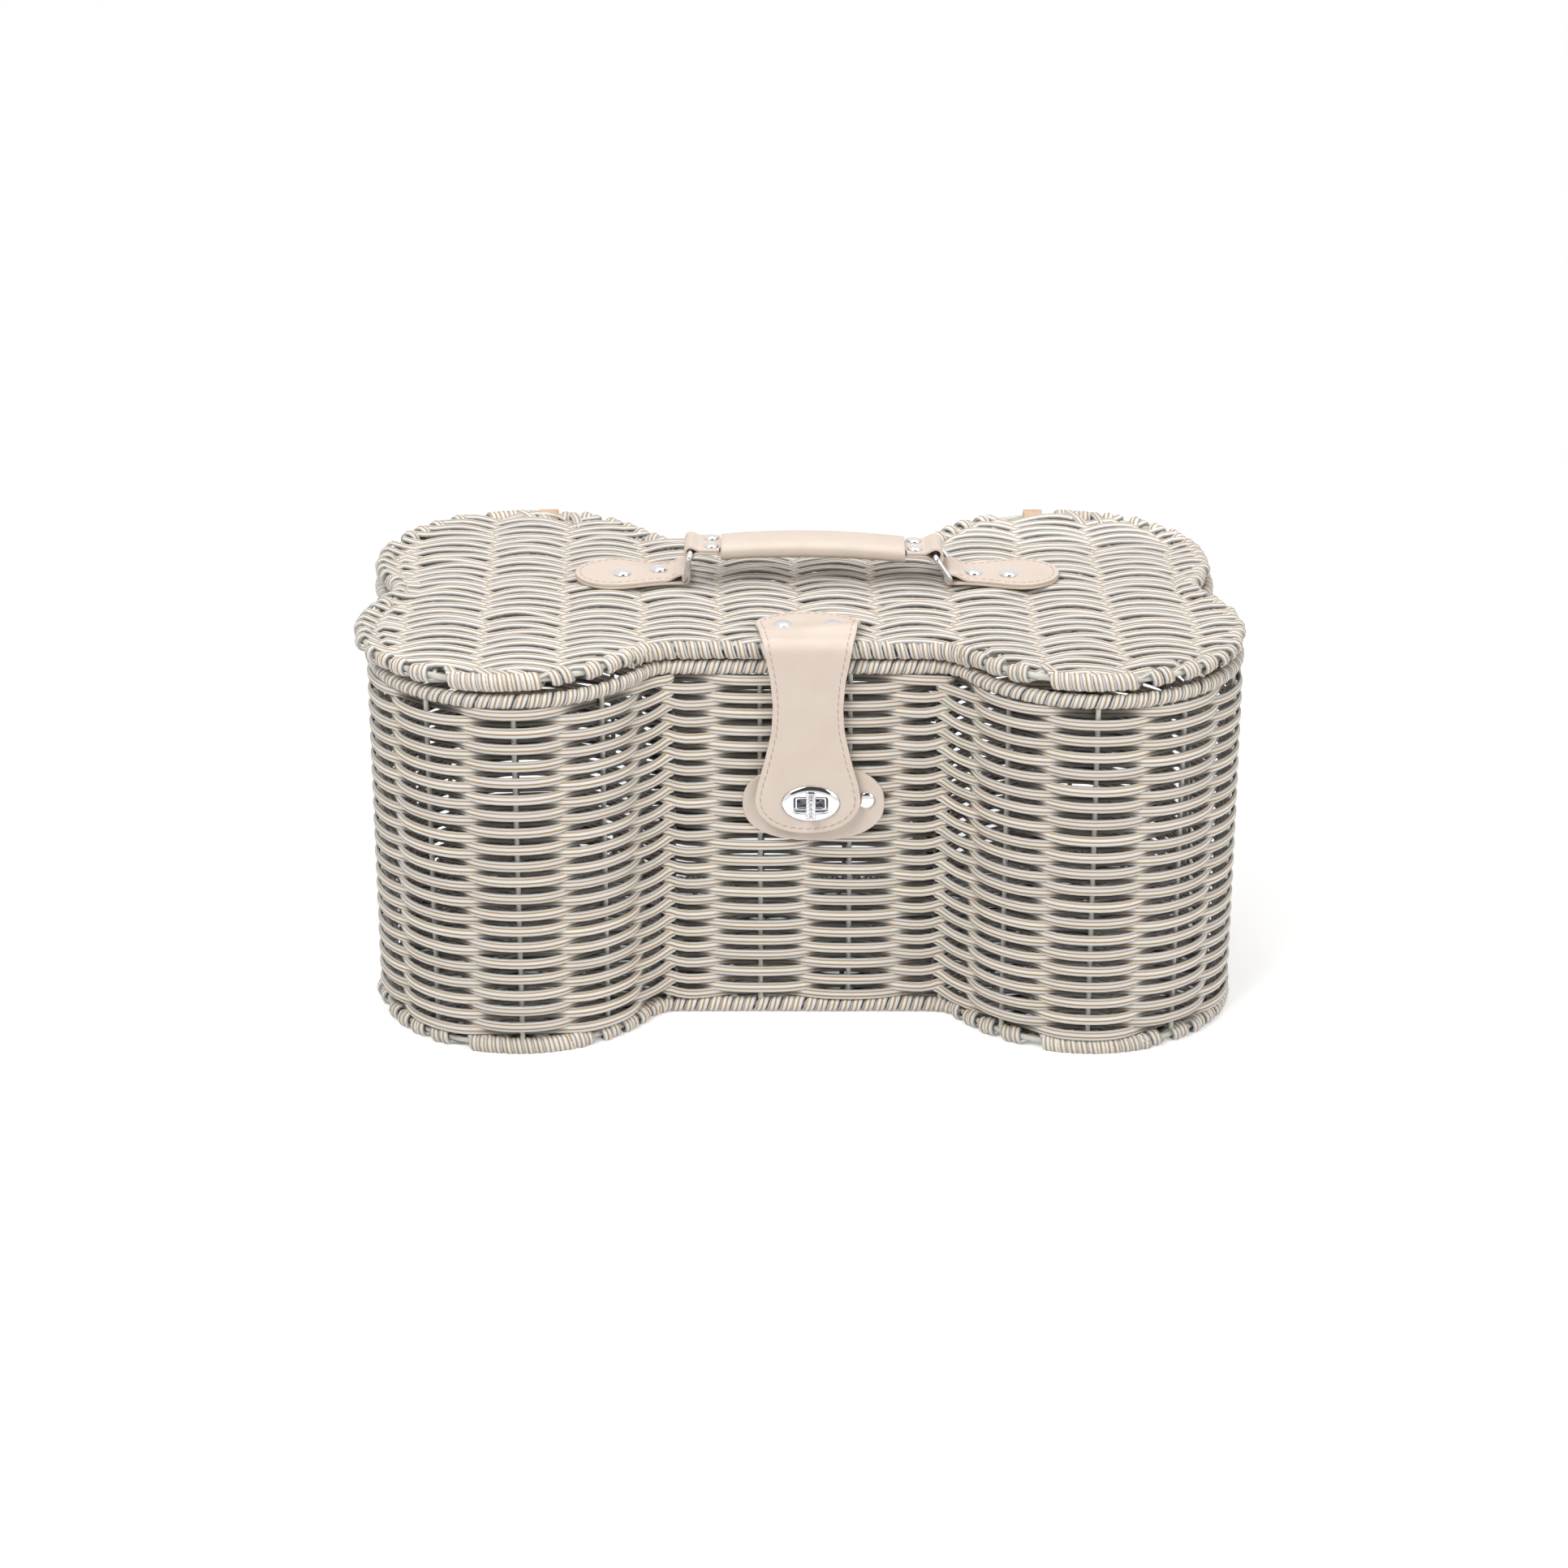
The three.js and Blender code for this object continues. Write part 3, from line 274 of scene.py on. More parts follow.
class Painter:
    """Makes one material with a Principled shader."""

    def __init__(self, name: str) -> None:
        """Start a material with a name."""
        self.material = bpy.data.materials.new(name)
        self.material.use_nodes = True
        self.graph = Graph(self.material.node_tree)
        self.shader = self.material.node_tree.nodes["Principled BSDF"]

    def set(self, **values: Any) -> None:
        """Set or link inputs of the shader, with underscores for spaces in their names."""
        for name, value in values.items():
            self.graph.feed(self.shader.inputs[name.replace("_", " ")], value)

    def coordinates(self) -> Term:
        """The object's own coordinates, in metres."""
        return self.graph.out("ShaderNodeTexCoord", which="Object")

    def noise(self, scale: float, detail: float = 2.0) -> Term:
        """A noise from 0 to 1, of a fineness per metre and a number of levels of detail."""
        inputs = {"Vector": self.coordinates(), "Scale": scale, "Detail": detail}
        return self.graph.out("ShaderNodeTexNoise", {"noise_dimensions": "3D"}, inputs)

    def mix(self, factor: Any, first: Any, second: Any) -> Term:
        """Mix two colours.

        Args:
            factor: How much of the second.
            first: A colour or a term.
            second: A colour or a term.

        Returns:
            The mixed colour.
        """
        node = self.graph.node("ShaderNodeMix", {"data_type": "RGBA"})
        for place, value in ((0, factor), (6, first), (7, second)):
            self.graph.feed(node.inputs[place], (*value, 1.0) if isinstance(value, tuple) else value)
        return Term(self.graph, node.outputs[2])

    def bump(self, height: Any, strength: float, distance: float) -> None:
        """Give the surface a relief from 0 to 1, which is some metres high at full strength."""
        inputs = {"Strength": strength, "Distance": distance, "Height": height}
        self.set(Normal=self.graph.out("ShaderNodeBump", None, inputs, "Normal"))


@dataclass(frozen=True)
class StrandFinish:
    """Striped plastic strand: pale ground with tan lines along its length, and painted shade in the
    weave's hollows and along its edges.
    """

    name: str = "striped_strand"
    ground: Colour = (0.775, 0.755, 0.725)
    tan: Colour = (0.40, 0.27, 0.125)
    roughness: float = 0.46
    # How dark the painted shade in the weave's hollows is.
    painted_shade: float = 0.72
    lines: tuple[Triple, ...] = ((0.20, 0.070, 0.9), (0.60, 0.090, 1.0))

    def make(self) -> Material:
        """Build the material."""
        paint = Painter(self.name)
        graph = paint.graph
        uv = graph.out("ShaderNodeUVMap", {"uv_map": "UVMap"})
        across = graph.out("ShaderNodeSeparateXYZ", None, {0: uv})
        tone, crest, front = (
            graph.out("ShaderNodeAttribute", {"attribute_name": one}, which="Fac")
            for one in ("tone", "crest", "front")
        )
        slow = paint.noise(35.0, 1.0)
        shifted = across + (tone - 0.5) * 0.10 + (slow - 0.5) * 0.06
        colour: Any = self.ground
        groove: Any = 0.0
        for centre, half, amount in self.lines:
            strength = shifted.band(centre, half, 0.05) * amount
            groove = strength + groove
            colour = paint.mix(strength * (0.75 + slow * 0.4), colour, self.tan)
        # Painted shade: darker where the strand's surface faces into the weave as it passes behind its
        # wires, and along both edges where the neighbouring rows meet.
        hollow = 1.0 - (crest * front).rise(-0.9, 0.1)
        painted_shade = (1.0 - hollow * self.painted_shade) * (1.0 - (1.0 - across.band(0.5, 0.42, 0.12)) * 0.4)
        # Random tone per strand and slow noise, times the painted shade.
        shade = (tone * 0.14 + 0.90) * (0.96 + slow * 0.08) * painted_shade
        grey = graph.out("ShaderNodeCombineXYZ", None, dict.fromkeys(range(3), shade))
        lit = graph.vector("MULTIPLY", colour, grey)
        paint.set(Base_Color=lit, Roughness=self.roughness)
        paint.set(Specular_IOR_Level=0.35)
        grain = paint.noise(900.0, 2.0)
        paint.bump(1.0 - groove * 0.5 + grain * 0.1, 0.35, 0.0003)
        return paint.material


@dataclass(frozen=True)
class WireFinish:
    """Grey-green coating on the steel wire."""

    name: str = "coated_wire"
    colour: Colour = (0.62, 0.61, 0.53)
    dark: Colour = (0.50, 0.49, 0.42)
    roughness: float = 0.5

    def make(self) -> Material:
        """Build the material."""
        paint = Painter(self.name)
        blotch = paint.noise(140.0, 3.0)
        paint.set(Base_Color=paint.mix(blotch.rise(0.45, 0.75), self.colour, self.dark))
        paint.set(Roughness=self.roughness, Specular_IOR_Level=0.4)
        paint.bump(paint.noise(700.0, 3.0), 0.3, 0.0002)
        return paint.material


@dataclass(frozen=True)
class LeatherFinish:
    """Smooth leather in two close shades, with a fine grain."""

    name: str = "beige_leather"
    colour: Colour = (0.70, 0.60, 0.52)
    shade: Colour = (0.675, 0.57, 0.485)
    roughness: float = 0.52

    def make(self) -> Material:
        """Build the material."""
        paint = Painter(self.name)
        patch = paint.noise(55.0, 3.0)
        paint.set(Base_Color=paint.mix(patch.rise(0.35, 0.75), self.colour, self.shade))
        paint.set(Roughness=self.roughness, Specular_IOR_Level=0.42)
        inputs = {"Vector": paint.coordinates(), "Scale": 1500.0, "Smoothness": 0.6}
        smooth = {"feature": "SMOOTH_F1"}
        cells = paint.graph.out("ShaderNodeTexVoronoi", smooth, inputs, "Distance")
        grain = cells * 0.7 + paint.noise(420.0, 3.0) * 0.6
        paint.bump(grain, 0.25, 0.00025)
        return paint.material


@dataclass(frozen=True)
class FibreFinish:
    """Dull fibre with flecks of a darker shade: sewing thread, or pressed filling."""

    name: str
    colour: Colour
    fineness: float
    detail: float
    darker: float
    roughness: float

    def make(self) -> Material:
        """Build the material."""
        paint = Painter(self.name)
        fleck = paint.noise(self.fineness, self.detail)
        darker = tuple(channel * self.darker for channel in self.colour)
        paint.set(Base_Color=paint.mix(fleck, self.colour, darker), Roughness=self.roughness)
        return paint.material


@dataclass(frozen=True)
class ChromeFinish:
    """Polished plate with faint handling marks."""

    name: str = "chrome_plate"
    colour: Colour = (0.76, 0.76, 0.78)
    roughness: float = 0.10

    def make(self) -> Material:
        """Build the material."""
        paint = Painter(self.name)
        marks = paint.noise(160.0, 4.0)
        paint.set(Base_Color=(*self.colour, 1.0), Metallic=1.0)
        paint.set(Roughness=self.roughness + marks.rise(0.5, 0.8) * 0.08)
        return paint.material


@dataclass(frozen=True)
class StoneFinish:
    """Clear cut stones with a foiled back."""

    name: str = "cut_stones"
    colour: Colour = (0.72, 0.74, 0.76)

    def make(self) -> Material:
        """Build the material."""
        paint = Painter(self.name)
        spark = paint.noise(1800.0, 0.0)
        grey = (0.25, 0.26, 0.27)
        paint.set(Base_Color=paint.mix(spark.rise(0.45, 0.6), self.colour, grey))
        paint.set(Metallic=0.65, Roughness=0.06, Coat_Weight=1.0)
        return paint.material


def fresh(finish: Any) -> Any:
    """A field that holds a finish's material."""
    return field(default_factory=finish.make)


@dataclass
class Finishes:
    """Every finish of the basket, made once."""

    strand: Material = fresh(StrandFinish())
    # The lid's strand is the same finish with weaker painted shade in its hollows than the walls' strand.
    top_strand: Material = fresh(StrandFinish("lid_strand", painted_shade=0.2))
    wire: Material = fresh(WireFinish())
    leather: Material = fresh(LeatherFinish())
    thread: Material = fresh(FibreFinish("pink_thread", (0.62, 0.40, 0.34), 2500.0, 1.0, 0.7, 0.75))
    hinge: Material = fresh(LeatherFinish("tan_leather", (0.62, 0.45, 0.31), (0.53, 0.37, 0.24)))
    filler: Material = fresh(FibreFinish("pressed_fibre", (0.42, 0.36, 0.28), 600.0, 3.0, 0.75, 0.9))
    chrome: Material = fresh(ChromeFinish())
    stones: Material = fresh(StoneFinish())
    # Dark plate for the floor of the lock's window: its darkness is painted shade in the recess.
    recess: Material = fresh(ChromeFinish("lock_recess", (0.16, 0.165, 0.18), 0.22))


# Paths


@dataclass
class Path:
    """A line in space, with the direction that the strand's flat side faces at each point."""

    points: Array
    faces: Array
    phase: Array | None = None
    out: Array | None = None
    grip: Array | None = None
    girth: Array | None = None
    tone: float = 0.5
    closed: bool = False

    def columns(self) -> dict[str, Array]:
        """Each point's named values, with defaults where the path has none."""
        count = len(self.points)
        out = self.out if self.out is not None else self.faces
        return {
            "face": self.faces, "out": out, "facing": np.sign(np.sum(self.faces * out, axis=1)),
            "phase": self.phase if self.phase is not None else np.zeros(count),
            "grip": self.grip if self.grip is not None else np.zeros(count),
            "girth": self.girth if self.girth is not None else np.ones(count),
            "tone": np.full(count, self.tone),
        }

    def lifted(self, height: float) -> Path:
        """The same path at another height."""
        return replace(self, points=self.points + UP * height)


def joined(before: Path, path: Path, after: Path) -> Path:
    """A path with its two ends joined on."""
    rows = [one.columns() for one in (before, path, after)]
    kept = ("face", "out", "phase", "grip", "girth")
    values = {key: np.concatenate([row[key] for row in rows]) for key in kept}
    values["faces"] = values.pop("face")
    points = np.concatenate([before.points, path.points, after.points])
    return replace(path, points=points, **values)


def linked(name: str, data: Any) -> Object:
    """A new object in the scene."""
    made = bpy.data.objects.new(name, data)
    bpy.context.scene.collection.objects.link(made)
    return made


def guide_object(name: str, paths: Sequence[Path]) -> Object:
    """Put paths into one mesh of plain edges, for a geometry tree to work on.

    Args:
        name: The object's name.
        paths: The paths, in millimetres.

    Returns:
        The object, with the paths' named values on its points.
    """
    points = np.concatenate([path.points for path in paths]) * MM
    edges = []
    start = 0
    for path in paths:
        count = len(path.points)
        run = np.arange(start, start + count - 1)
        edges.append(np.stack([run, run + 1], axis=1))
        if path.closed:
            edges.append(np.array([[start + count - 1, start]]))
        start += count
    mesh = bpy.data.meshes.new(name)
    mesh.from_pydata(points.tolist(), np.concatenate(edges).tolist(), [])
    columns = [path.columns() for path in paths]
    for key, first in columns[0].items():
        values = np.concatenate([column[key] for column in columns])
        kind = "FLOAT_VECTOR" if first.ndim == 2 else "FLOAT"
        stored = mesh.attributes.new(key, kind, "POINT")
        stored.data.foreach_set("vector" if first.ndim == 2 else "value", values.ravel())
    return linked(name, mesh)


# Geometry trees


class GuidedTree:
    """A geometry tree with named inputs, which turns a guide into a piece."""

    def __init__(self, name: str, inputs: dict[str, str]) -> None:
        """Make the tree and its sockets.

        Args:
            name: The tree's name.
            inputs: The kind of each named input.
        """
        self.tree = bpy.data.node_groups.new(name, "GeometryNodeTree")
        face = self.tree.interface
        face.new_socket("Geometry", in_out="INPUT", socket_type="NodeSocketGeometry")
        self.ids: dict[str, str] = {}
        for label, kind in inputs.items():
            socket = face.new_socket(label, in_out="INPUT", socket_type=f"NodeSocket{kind}")
            self.ids[label] = socket.identifier
        face.new_socket("Geometry", in_out="OUTPUT", socket_type="NodeSocketGeometry")

    def apply(self, guide: Object, name: str, **values: Any) -> Object:
        """Run the tree on a guide and keep the result as a plain mesh.

        Args:
            guide: The guide, which is used up.
            name: The piece's name.
            **values: The named inputs.

        Returns:
            The piece.
        """
        modifier = guide.modifiers.new(self.tree.name, "NODES")
        modifier.node_group = self.tree
        for label, value in values.items():
            modifier[self.ids[label]] = value
        graph = bpy.context.evaluated_depsgraph_get()
        mesh = bpy.data.meshes.new_from_object(guide.evaluated_get(graph), depsgraph=graph)
        mesh.name = name
        guide.name = f"{name}_source"
        bpy.data.objects.remove(guide)
        LOG.info("%s: %d faces", name, len(mesh.polygons))
        return linked(name, mesh)


class SweptStrand(GuidedTree):
    """A tree that weaves guides over and under, and gives them the strand's flattened section."""

    def __init__(self, name: str = "swept_strand", sides: int = 10) -> None:
        """Build the tree, for a section with a number of sides."""
        lengths = ("Width", "Thickness", "Lift", "Flatness", "Wander", "Seed")
        super().__init__(name, {**dict.fromkeys(lengths, "Float"), "Material": "Material"})
        graph = Graph(self.tree)
        given = graph.given()
        wave = graph.maths("COSINE", graph.named("phase") * math.pi)
        flatness = given["Flatness"]
        arched = graph.maths("TANH", wave * flatness) / graph.maths("TANH", flatness)
        crest = arched * graph.named("grip")
        out = graph.vector("SCALE", graph.named("out", "FLOAT_VECTOR"), Scale=crest * given["Lift"])
        here = graph.out("GeometryNodeInputPosition")
        shift = graph.named("tone") * 40.0 + given["Seed"]
        inputs = {"Vector": here, "W": shift, "Scale": 30.0, "Detail": 1.0}
        drift = graph.out("ShaderNodeTexNoise", {"noise_dimensions": "4D"}, inputs, "Color")
        centred = graph.vector("SUBTRACT", drift, (0.5, 0.5, 0.5))
        wander = graph.vector("SCALE", centred, Scale=given["Wander"] * 2.0)
        offset = graph.vector("ADD", out, wander)
        # The signed crest is stored for the strand material, which paints shade from it into the weave's
        # hollows.
        marked = graph.stored(given["Geometry"], "crest", crest * graph.named("facing"))
        moved = graph.out("GeometryNodeSetPosition", None, {"Geometry": marked, "Offset": offset})
        curve = graph.out("GeometryNodeMeshToCurve", None, {0: moved})
        inputs = {0: curve, "Normal": graph.named("face", "FLOAT_VECTOR")}
        turned = graph.out("GeometryNodeSetCurveNormal", {"mode": "FREE"}, inputs)
        inputs = {0: turned, "Radius": graph.named("girth")}
        sized = graph.out("GeometryNodeSetCurveRadius", None, inputs)
        along = graph.out("GeometryNodeSplineParameter", which="Length")
        tagged = graph.stored(sized, "along", along)

        inputs = {"Resolution": sides, "Radius": 1.0}
        ring = graph.out("GeometryNodeCurvePrimitiveCircle", None, inputs)
        split = graph.node("ShaderNodeSeparateXYZ", None, {0: here}).outputs
        # The section's front side is stored for the strand material's painted shade, and its across for
        # the stripes and the painted shade at the edges.
        rim = graph.stored(graph.stored(ring, "across", split[1]), "front", split[0])
        half_sizes = {0: given["Thickness"] * 0.5, 1: given["Width"] * 0.5, 2: 1.0}
        stretch = graph.out("ShaderNodeCombineXYZ", None, half_sizes)
        section = graph.out("GeometryNodeTransform", None, {0: rim, "Scale": stretch})

        inputs = {"Curve": tagged, "Profile Curve": section, "Fill Caps": True}
        swept = graph.node("GeometryNodeCurveToMesh", None, inputs)
        if "Scale" in swept.inputs:
            graph.feed(swept.inputs["Scale"], graph.named("girth"))
        places = {0: graph.named("across") * 0.5 + 0.5, 1: graph.named("along")}
        uv = graph.out("ShaderNodeCombineXYZ", None, places)
        mapped = graph.stored(swept.outputs[0], "UVMap", uv, "FLOAT2", "CORNER")
        smooth = graph.out("GeometryNodeSetShadeSmooth", None, {0: mapped})
        graph.end(smooth, given["Material"])

    def sweep(
        self, name: str, paths: Sequence[Path], material: Material, width: float, thickness: float,
        lift: float = 0.0, wander: float = 0.0, seed: float = 0.0, flatness: float = 1.3,
    ) -> Object:
        """Make the strands of some guides.

        Args:
            name: The piece's name.
            paths: The guides.
            material: The strand's material.
            width: The strand's width.
            thickness: The strand's thickness.
            lift: How far it passes over and under its bars.
            wander: How far it strays.
            seed: A number that sets the straying.
            flatness: How flat the strand lies on its bars, from 0 for a round arch.

        Returns:
            The plain mesh object.
        """
        return self.apply(
            guide_object(name, paths), name, Width=width * MM, Thickness=thickness * MM,
            Lift=lift * MM, Flatness=flatness, Wander=wander * MM, Seed=seed, Material=material,
        )


# The basket's plan


@dataclass(frozen=True)
class Plan:
    """A closed outline of four round lobes, two straight recesses and two side notches."""

    lobes: Pairs
    lobe_radius: float = 77.0
    recess: float = 79.0
    corner: float = 20.0
    notch: float = 30.0

    def pieces(self) -> list[tuple[Array, float, float, float, float]]:
        """The arcs, anticlockwise from the front right corner.

        Returns:
            Centre, radius, side (1 bulges out, -1 in), first angle and sweep of each arc.
        """
        lobes = [np.array(one) for one in self.lobes]
        centres: list[Array] = []
        for index, place in enumerate(lobes):
            corner = self._corner(place)
            if index in (0, 2):
                centres += [corner, place, self._notch(place, lobes[index + 1])]
            else:
                centres += [place, corner]
        straight = {(0, 0): 1, (4, 1): -1, (5, 0): -1, (9, 1): 1}
        arcs = []
        for index, centre in enumerate(centres):
            side, radius = 1 if index in (1, 3, 6, 8) else -1, self.corner
            if side > 0:
                radius = self.lobe_radius
            elif index in (2, 7):
                radius = self.notch
            first, last = (
                straight[index, end] * math.pi / 2
                if (index, end) in straight
                else heading(centre, centres[(index + step) % len(centres)])
                for end, step in ((0, -1), (1, 1))
            )
            arcs.append((centre, radius, side, first, ((last - first) * side) % (2 * math.pi) * side))
        return arcs

    def _corner(self, lobe: Array) -> Array:
        """The centre of the fillet between a lobe and the recess."""
        y = math.copysign(self.recess + self.corner, lobe[1])
        reach = math.sqrt((self.lobe_radius + self.corner) ** 2 - (y - lobe[1]) ** 2)
        return np.array([lobe[0] - math.copysign(reach, lobe[0]), y])

    def _notch(self, first: Array, second: Array) -> Array:
        """The centre of the fillet between the two lobes of one end."""
        half = (second - first) / 2
        reach = math.sqrt((self.lobe_radius + self.notch) ** 2 - half @ half)
        outward = np.array([half[1], -half[0]]) / np.linalg.norm(half)
        return (first + second) / 2 + outward * reach


def heading(start: Array, end: Array) -> float:
    """The direction from one point to another."""
    return math.atan2(end[1] - start[1], end[0] - start[0])


def spoke_at(angle: float) -> Array:
    """The direction at an angle, in the plane."""
    return np.array([math.cos(angle), math.sin(angle)])


def between(wanted: Array, places: Array, rows: Array) -> Array:
    """Rows of two values, interpolated at the wanted places."""
    return np.stack([np.interp(wanted, places, rows[:, axis]) for axis in (0, 1)], axis=-1)


def repeated(direction: Sequence[float], count: int) -> Array:
    """A direction, once for each point."""
    return np.repeat([direction], count, axis=0)


class Rim:
    """A plan's outline measured by the distance along it."""

    step = 0.5

    def __init__(self, plan: Plan) -> None:
        """Measure the outline, and keep points of it at an even step."""
        points, normals, marks = [], [], []
        walked = 0.0
        arcs = plan.pieces()
        for index, (centre, radius, side, first, sweep) in enumerate(arcs):
            count = max(2, round(abs(sweep) * radius / self.step))
            angles = first + sweep * np.arange(count) / count
            spokes = np.stack([np.cos(angles), np.sin(angles)], axis=1)
            points.append(centre + radius * spokes)
            normals.append(spokes * side)
            marks.append((walked, walked + abs(sweep) * radius))
            walked += abs(sweep) * radius
            end = centre + radius * spoke_at(first + sweep)
            after = arcs[(index + 1) % len(arcs)]
            begin = after[0] + after[1] * spoke_at(after[3])
            gap = float(np.linalg.norm(begin - end))
            if gap > self.step:
                count = round(gap / self.step)
                share = np.arange(count)[:, None] / count
                points.append(end + (begin - end) * share)
                normals.append(repeated(spoke_at(first + sweep) * side, count))
                walked += gap
        self.points = np.concatenate(points)
        self.normals = np.concatenate(normals)
        self.marks = marks
        ahead = np.roll(self.points, -1, axis=0)
        steps = np.linalg.norm(ahead - self.points, axis=1)
        self.places = np.concatenate([[0.0], np.cumsum(steps)])
        self.length = float(self.places[-1])
        self._closed_points = np.vstack([self.points, self.points[:1]])
        self._closed_normals = np.vstack([self.normals, self.normals[:1]])

    def at(self, places: Array) -> tuple[Array, Array]:
        """Points and outward directions at distances along the outline.

        Args:
            places: The distances.

        Returns:
            The points and the outward directions, in the plane.
        """
        wrapped = np.mod(places, self.length)
        point = between(wrapped, self.places, self._closed_points)
        normal = between(wrapped, self.places, self._closed_normals)
        normal /= np.linalg.norm(normal, axis=-1, keepdims=True)
        return point, normal

    def corner(self, index: int) -> float:
        """The distance to the middle of one of the outline's arcs."""
        first, last = self.marks[index]
        return (first + last) / 2

    def nearest(self, x: float, y: float) -> float:
        """The distance along the outline to the point nearest a place."""
        away = np.hypot(self.points[:, 0] - x, self.points[:, 1] - y)
        return float(self.places[int(np.argmin(away))])

    def crossings(self, y: float) -> list[Pair]:
        """Where a line across the basket meets the outline.

        Args:
            y: The line's place.

        Returns:
            The x and the distance along the outline of each crossing, from left to right.
        """
        ahead = np.roll(self.points, -1, axis=0)
        hits = (self.points[:, 1] < y) != (ahead[:, 1] < y)
        found = []
        for index in np.nonzero(hits)[0]:
            here, there = self.points[index], ahead[index]
            share = (y - here[1]) / (there[1] - here[1])
            found.append((here[0] + (there[0] - here[0]) * share, float(self.places[index])))
        return sorted(found)


def lift_to(points: Array, z: float | Array) -> Array:
    """Give flat points a height."""
    heights = np.broadcast_to(z, points.shape[:1])
    return np.concatenate([points, heights[:, None]], axis=1)


def coiled(outward: Array, angle: Array) -> Array:
    """Directions at angles round a ring's wire, where 0 is outward and a quarter turn is upward."""
    return np.concatenate([outward * np.cos(angle)[:, None], np.sin(angle)[:, None]], axis=1)


def smooth_step(values: Array) -> Array:
    """A smooth step from 0 to 1."""
    held = np.clip(values, 0.0, 1.0)
    return held * held * (3.0 - 2.0 * held)


# Sub-assemblies


@dataclass
class Weave:
    """Sizes of the strand and of the wires that it is woven on, and the walls' looseness."""

    width: float = 5.9
    thickness: float = 2.7
    slack: float = 0.55
    ring_wire: float = 1.65
    stake_wire: float = 1.4
    turn_pitch: float = 6.5
    wrap_width: float = 6.1
    wrap_thickness: float = 2.4
    step: float = 5.2

    @property
    def lift(self) -> float:
        """How far a strand's middle stands from the middle of the wire that it passes."""
        return self.stake_wire + self.thickness / 2

    @property
    def winding(self) -> float:
        """The distance from a ring's wire to the middle of the strand wound on it."""
        return self.ring_wire + self.wrap_thickness / 2


def winding_path(
    rim: Rim, height: float, start: float, end: float, weave: Weave, rng: np.random.Generator,
    direction: int = 1, loose: float = 0.0,
) -> Path:
    """A strand wound round a stretch of a ring.

    Args:
        rim: The ring.
        height: The ring's height.
        start: Where the winding starts along the ring.
        end: Where it ends.
        weave: The strand's sizes.
        rng: The source of unevenness.
        direction: The way round.
        loose: How far the strand stands off the wire.

    Returns:
        The path.
    """
    turns = max(1, round((end - start) / weave.turn_pitch))
    per_turn = 12
    count = turns * per_turn + 1
    share = np.linspace(0.0, 1.0, count)
    knots = np.arange(0, count + per_turn, per_turn)
    drift = np.interp(np.arange(count), knots, rng.normal(0.0, 0.35, turns + 2)[: len(knots)])
    places = start + (end - start) * share + drift
    angle = direction * 2 * math.pi * share * turns + rng.uniform(0, 6)
    point, outward = rim.at(places)
    spoke = coiled(outward, angle)
    swell = weave.winding + loose + rng.normal(0.0, 0.05)
    return Path(lift_to(point, height) + spoke * swell, spoke, tone=float(rng.uniform()))


def wire_ring(rim: Rim, height: float) -> Path:
    """The path of a ring's wire, with a point at about each six millimetres."""
    count = round(rim.length / 6.0)
    point, outward = rim.at(np.arange(count) * rim.length / count)
    return Path(lift_to(point, height), lift_to(outward, 0.0), closed=True)


def straight_wire(start: Sequence[float], end: Sequence[float]) -> Path:
    """The path of a straight wire with three points."""
    ends = np.array([start, end], dtype=float)
    points = np.array([ends[0], ends.mean(axis=0), ends[1]])
    along = ends[1] - ends[0]
    side = np.cross(along, UP) if abs(along[2]) < 1.0 else np.cross(along, [1.0, 0.0, 0.0])
    side = side / np.linalg.norm(side)
    return Path(points, repeated(side, len(points)))


